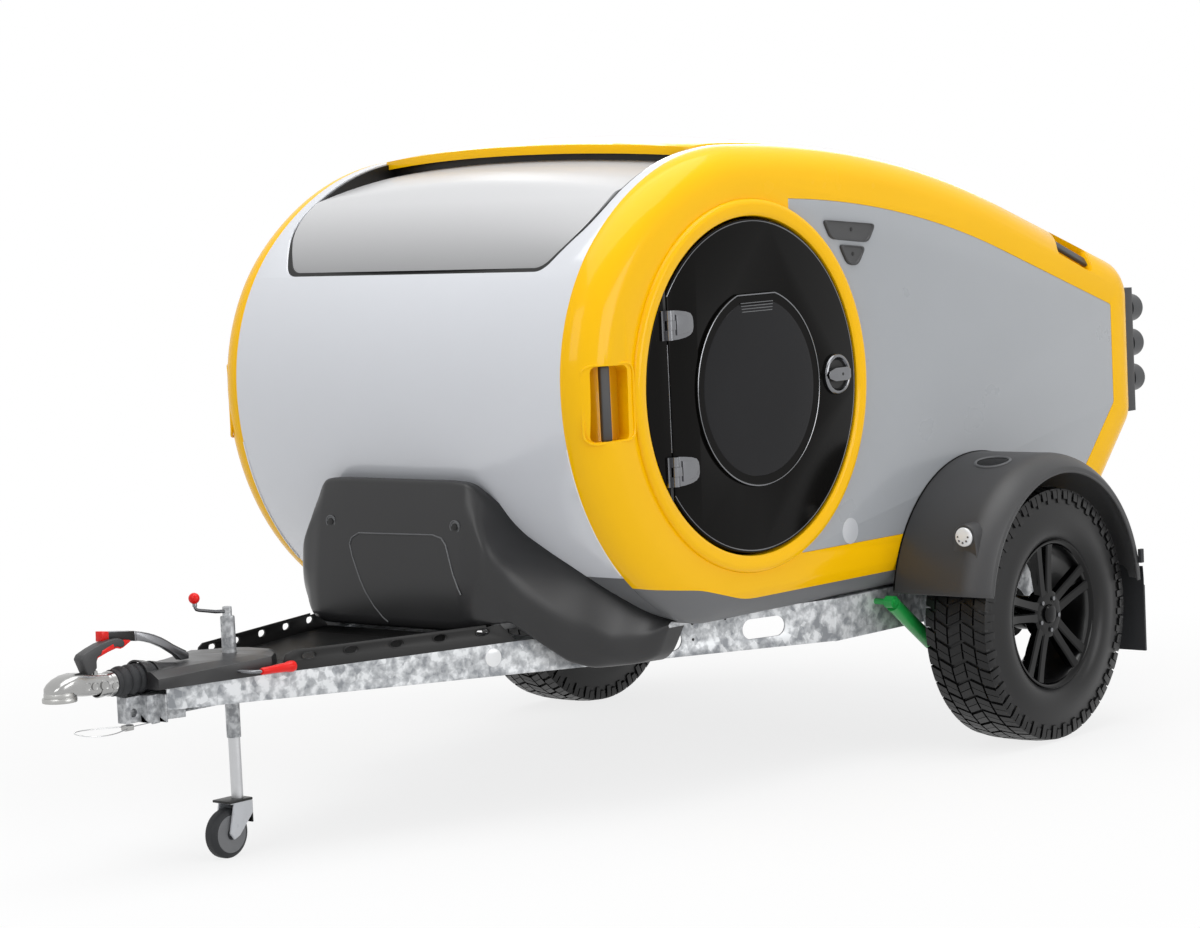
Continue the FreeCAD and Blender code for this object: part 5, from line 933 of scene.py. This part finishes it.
# along, up, radius, how far the rim and the face stand proud, finish
RAIL_CAPS = (
    (0.765, 0.454, 0.025, 0.0022, 0.0036, 1), (0.136, 0.4735, 0.004, 0.0012, 0.0016, 0),
    (0.135, 0.4285, 0.004, 0.0012, 0.0016, 0), (0.027, 0.475, 0.004, 0.0012, 0.0016, 0),
)
for x, z, radius, rim, face, kind in RAIL_CAPS:
    profile = [(radius, -0.001), (radius, rim), (radius * 0.86, face), (0.0001, face)]
    dots.lathe(profile, (x, rail_y(x), z), outward, kind, 32)
put("rail_caps", dots, [BLACK, LENS], sides=BOTH)

VENT_UPPER = ((-0.2895, 1.581), (-0.5385, 1.559), (-0.5015, 1.507), (-0.3225, 1.525))
VENT_LOWER = ((-0.3615, 1.508), (-0.4865, 1.496), (-0.4475, 1.443), (-0.3975, 1.449))
# how far the outline is drawn in, and place across
VENT_STEPS = ((0.0, 0.713), (0.0, 0.719), (0.003, 0.7215), (0.009, 0.7215), (0.012, 0.7185), (0.016, 0.718))
vents = Mesh()
for corners, screw in ((VENT_UPPER, (-0.42, 1.548)), (VENT_LOWER, (-0.424, 1.478))):
    rings = []
    for amount, y in VENT_STEPS:
        rings.append([(x, y, z) for x, z in round_corners(shrink(corners, amount), 0.02)])
    vents.grid(rings, caps=False)
    vents.add(rings[-1], [tuple(range(len(rings[-1])))])
    vents.lathe([(0.006, 0.7178), (0.0055, 0.7192), (0.0001, 0.7195)], (screw[0], 0, screw[1]), ACROSS, 1, 16)
put("vent_covers", vents, [TRIM, BLACK], ["side_vents"], BOTH)

# ---- camera, floor and light

CAMERA_AT = (7.4895, 6.583, 1.753)
YAW, PITCH, ROLL = -2.4275, -0.0858, -0.0462
LENS_MM, SENSOR_MM = 102.82, 36
ahead = Vector((math.cos(YAW) * math.cos(PITCH), math.sin(YAW) * math.cos(PITCH), math.sin(PITCH)))
right = ahead.cross(Vector(UP)).normalized()
above = right.cross(ahead)
right_rolled = math.cos(ROLL) * right + math.sin(ROLL) * above
above_rolled = -math.sin(ROLL) * right + math.cos(ROLL) * above
lens = bpy.data.cameras.new("camera")
lens.lens, lens.sensor_width = LENS_MM, SENSOR_MM
camera = bpy.data.objects.new("camera", lens)
turn = Matrix((right_rolled, above_rolled, -ahead)).transposed()
camera.matrix_world = Matrix.Translation(CAMERA_AT) @ turn.to_4x4()
scene.collection.objects.link(camera)
scene.camera = camera


def behind_the_scenes(tree, lit, white_kind, output):
    """Shows plain white to camera, glossy and transmission rays, and a lit shader to the others.

    Gives the node whose second input is white's share there."""
    rays = tree.nodes.new("ShaderNodeLightPath")
    total = rays.outputs["Is Camera Ray"]
    for name in ("Is Glossy Ray", "Is Transmission Ray"):
        both = add_node(tree, "ShaderNodeMath", links={0: total, 1: rays.outputs[name]})
        both.operation, both.use_clamp = "ADD", True
        total = both.outputs[0]
    share = add_node(tree, "ShaderNodeMath", {1: 1.0}, {0: total})
    share.operation = "MULTIPLY"
    white = add_node(tree, white_kind, {"Color": (1, 1, 1, 1), "Strength": 1.0})
    sources = {0: share.outputs[0], 1: lit.outputs[0], 2: white.outputs[0]}
    mix = add_node(tree, "ShaderNodeMixShader", links=sources)
    tree.links.new(mix.outputs[0], output.inputs["Surface"])
    return share


world = bpy.data.worlds.new("studio")
scene.world = world
world.use_nodes = True
tree = world.node_tree
ambient = tree.nodes["Background"]
ambient.inputs["Color"].default_value = (0.96, 0.98, 1.0, 1)
ambient.inputs["Strength"].default_value = 0.48
behind_the_scenes(tree, ambient, "ShaderNodeBackground", tree.nodes["World Output"])

FLOOR_HALF = 60
# the floor's white share, and the distances from the origin at which it starts to grow and is whole
FADE_SHARE, FADE_START, FADE_END = 0.8, 1.6, 3.6
floor_mesh = bpy.data.meshes.new("floor")
floor_mesh.from_pydata([(x * FLOOR_HALF, y * FLOOR_HALF, 0) for x, y in ((-1, -1), (1, -1), (1, 1), (-1, 1))],
                       [], [(0, 1, 2, 3)])
floor = bpy.data.objects.new("floor", floor_mesh)
scene.collection.objects.link(floor)
floor_material, tree, shader = new_material(
    "pale_floor", {"Base Color": (0.86, 0.86, 0.86, 1), "Roughness": 0.9, "Specular IOR Level": 0.0})
seen = behind_the_scenes(tree, shader, "ShaderNodeEmission", tree.nodes["Material Output"])
distance = add_node(tree, "ShaderNodeVectorMath", links={0: object_place(tree)})
distance.operation = "LENGTH"
fade = add_node(tree, "ShaderNodeMapRange",
                {"From Min": FADE_START, "From Max": FADE_END, "To Min": FADE_SHARE, "To Max": 1.0},
                {"Value": distance.outputs["Value"]})
tree.links.new(fade.outputs["Result"], seen.inputs[1])
floor_mesh.materials.append(floor_material)


def softbox(name, at, aim, size, power):
    """A square-cornered lamp at a place, turned to what it lights."""
    light = bpy.data.lights.new(name, "AREA")
    light.shape, light.size, light.size_y, light.energy = "RECTANGLE", size[0], size[1], power
    obj = bpy.data.objects.new(name, light)
    obj.location = at
    obj.rotation_euler = (Vector(aim) - Vector(at)).to_track_quat("-Z", "Y").to_euler()
    scene.collection.objects.link(obj)


softbox("overhead", (0.3, 0.6, 5.2), (0, 0, 0.8), (5.5, 4.0), 170)
softbox("key", (5.5, 1.0, 3.6), (0.4, 0, 1.0), (2.6, 2.6), 60)
softbox("side", (-1.0, 7.5, 2.5), (-0.4, 0, 0.8), (4.5, 2.8), 140)
softbox("fill", (-6.0, -4.0, 3.5), (-0.6, 0, 0.9), (3.5, 3.0), 90)

# ---- breakaway cable

CABLE_SIZE = 0.003
CABLE = (
    (1.69, 0, 0.395), (1.722, -0.001, 0.394), (1.752, 0.003, 0.395), (1.79, 0.014, 0.393),
    (1.835, 0.027, 0.39), (1.88, 0.033, 0.391), (1.922, 0.027, 0.396), (1.944, 0.008, 0.401),
    (1.942, -0.014, 0.404), (1.915, -0.029, 0.404), (1.872, -0.03, 0.402), (1.828, -0.022, 0.4),
    (1.79, -0.009, 0.397), (1.768, -0.003, 0.395),
)
curve = bpy.data.curves.new("breakaway_cable_line", "CURVE")
curve.dimensions = "3D"
curve.bevel_depth, curve.bevel_resolution, curve.resolution_u = CABLE_SIZE / 2, 4, 12
spline = curve.splines.new("NURBS")
spline.points.add(len(CABLE) - 1)
for point, at in zip(spline.points, CABLE):
    point.co = (*at, 1)
spline.order_u = 3
spline.use_endpoint_u = True
curve.materials.append(BRIGHT)
cable = bpy.data.objects.new("breakaway_cable_line", curve)
scene.collection.objects.link(cable)
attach(cable, "trailer")
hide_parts("breakaway_cable")
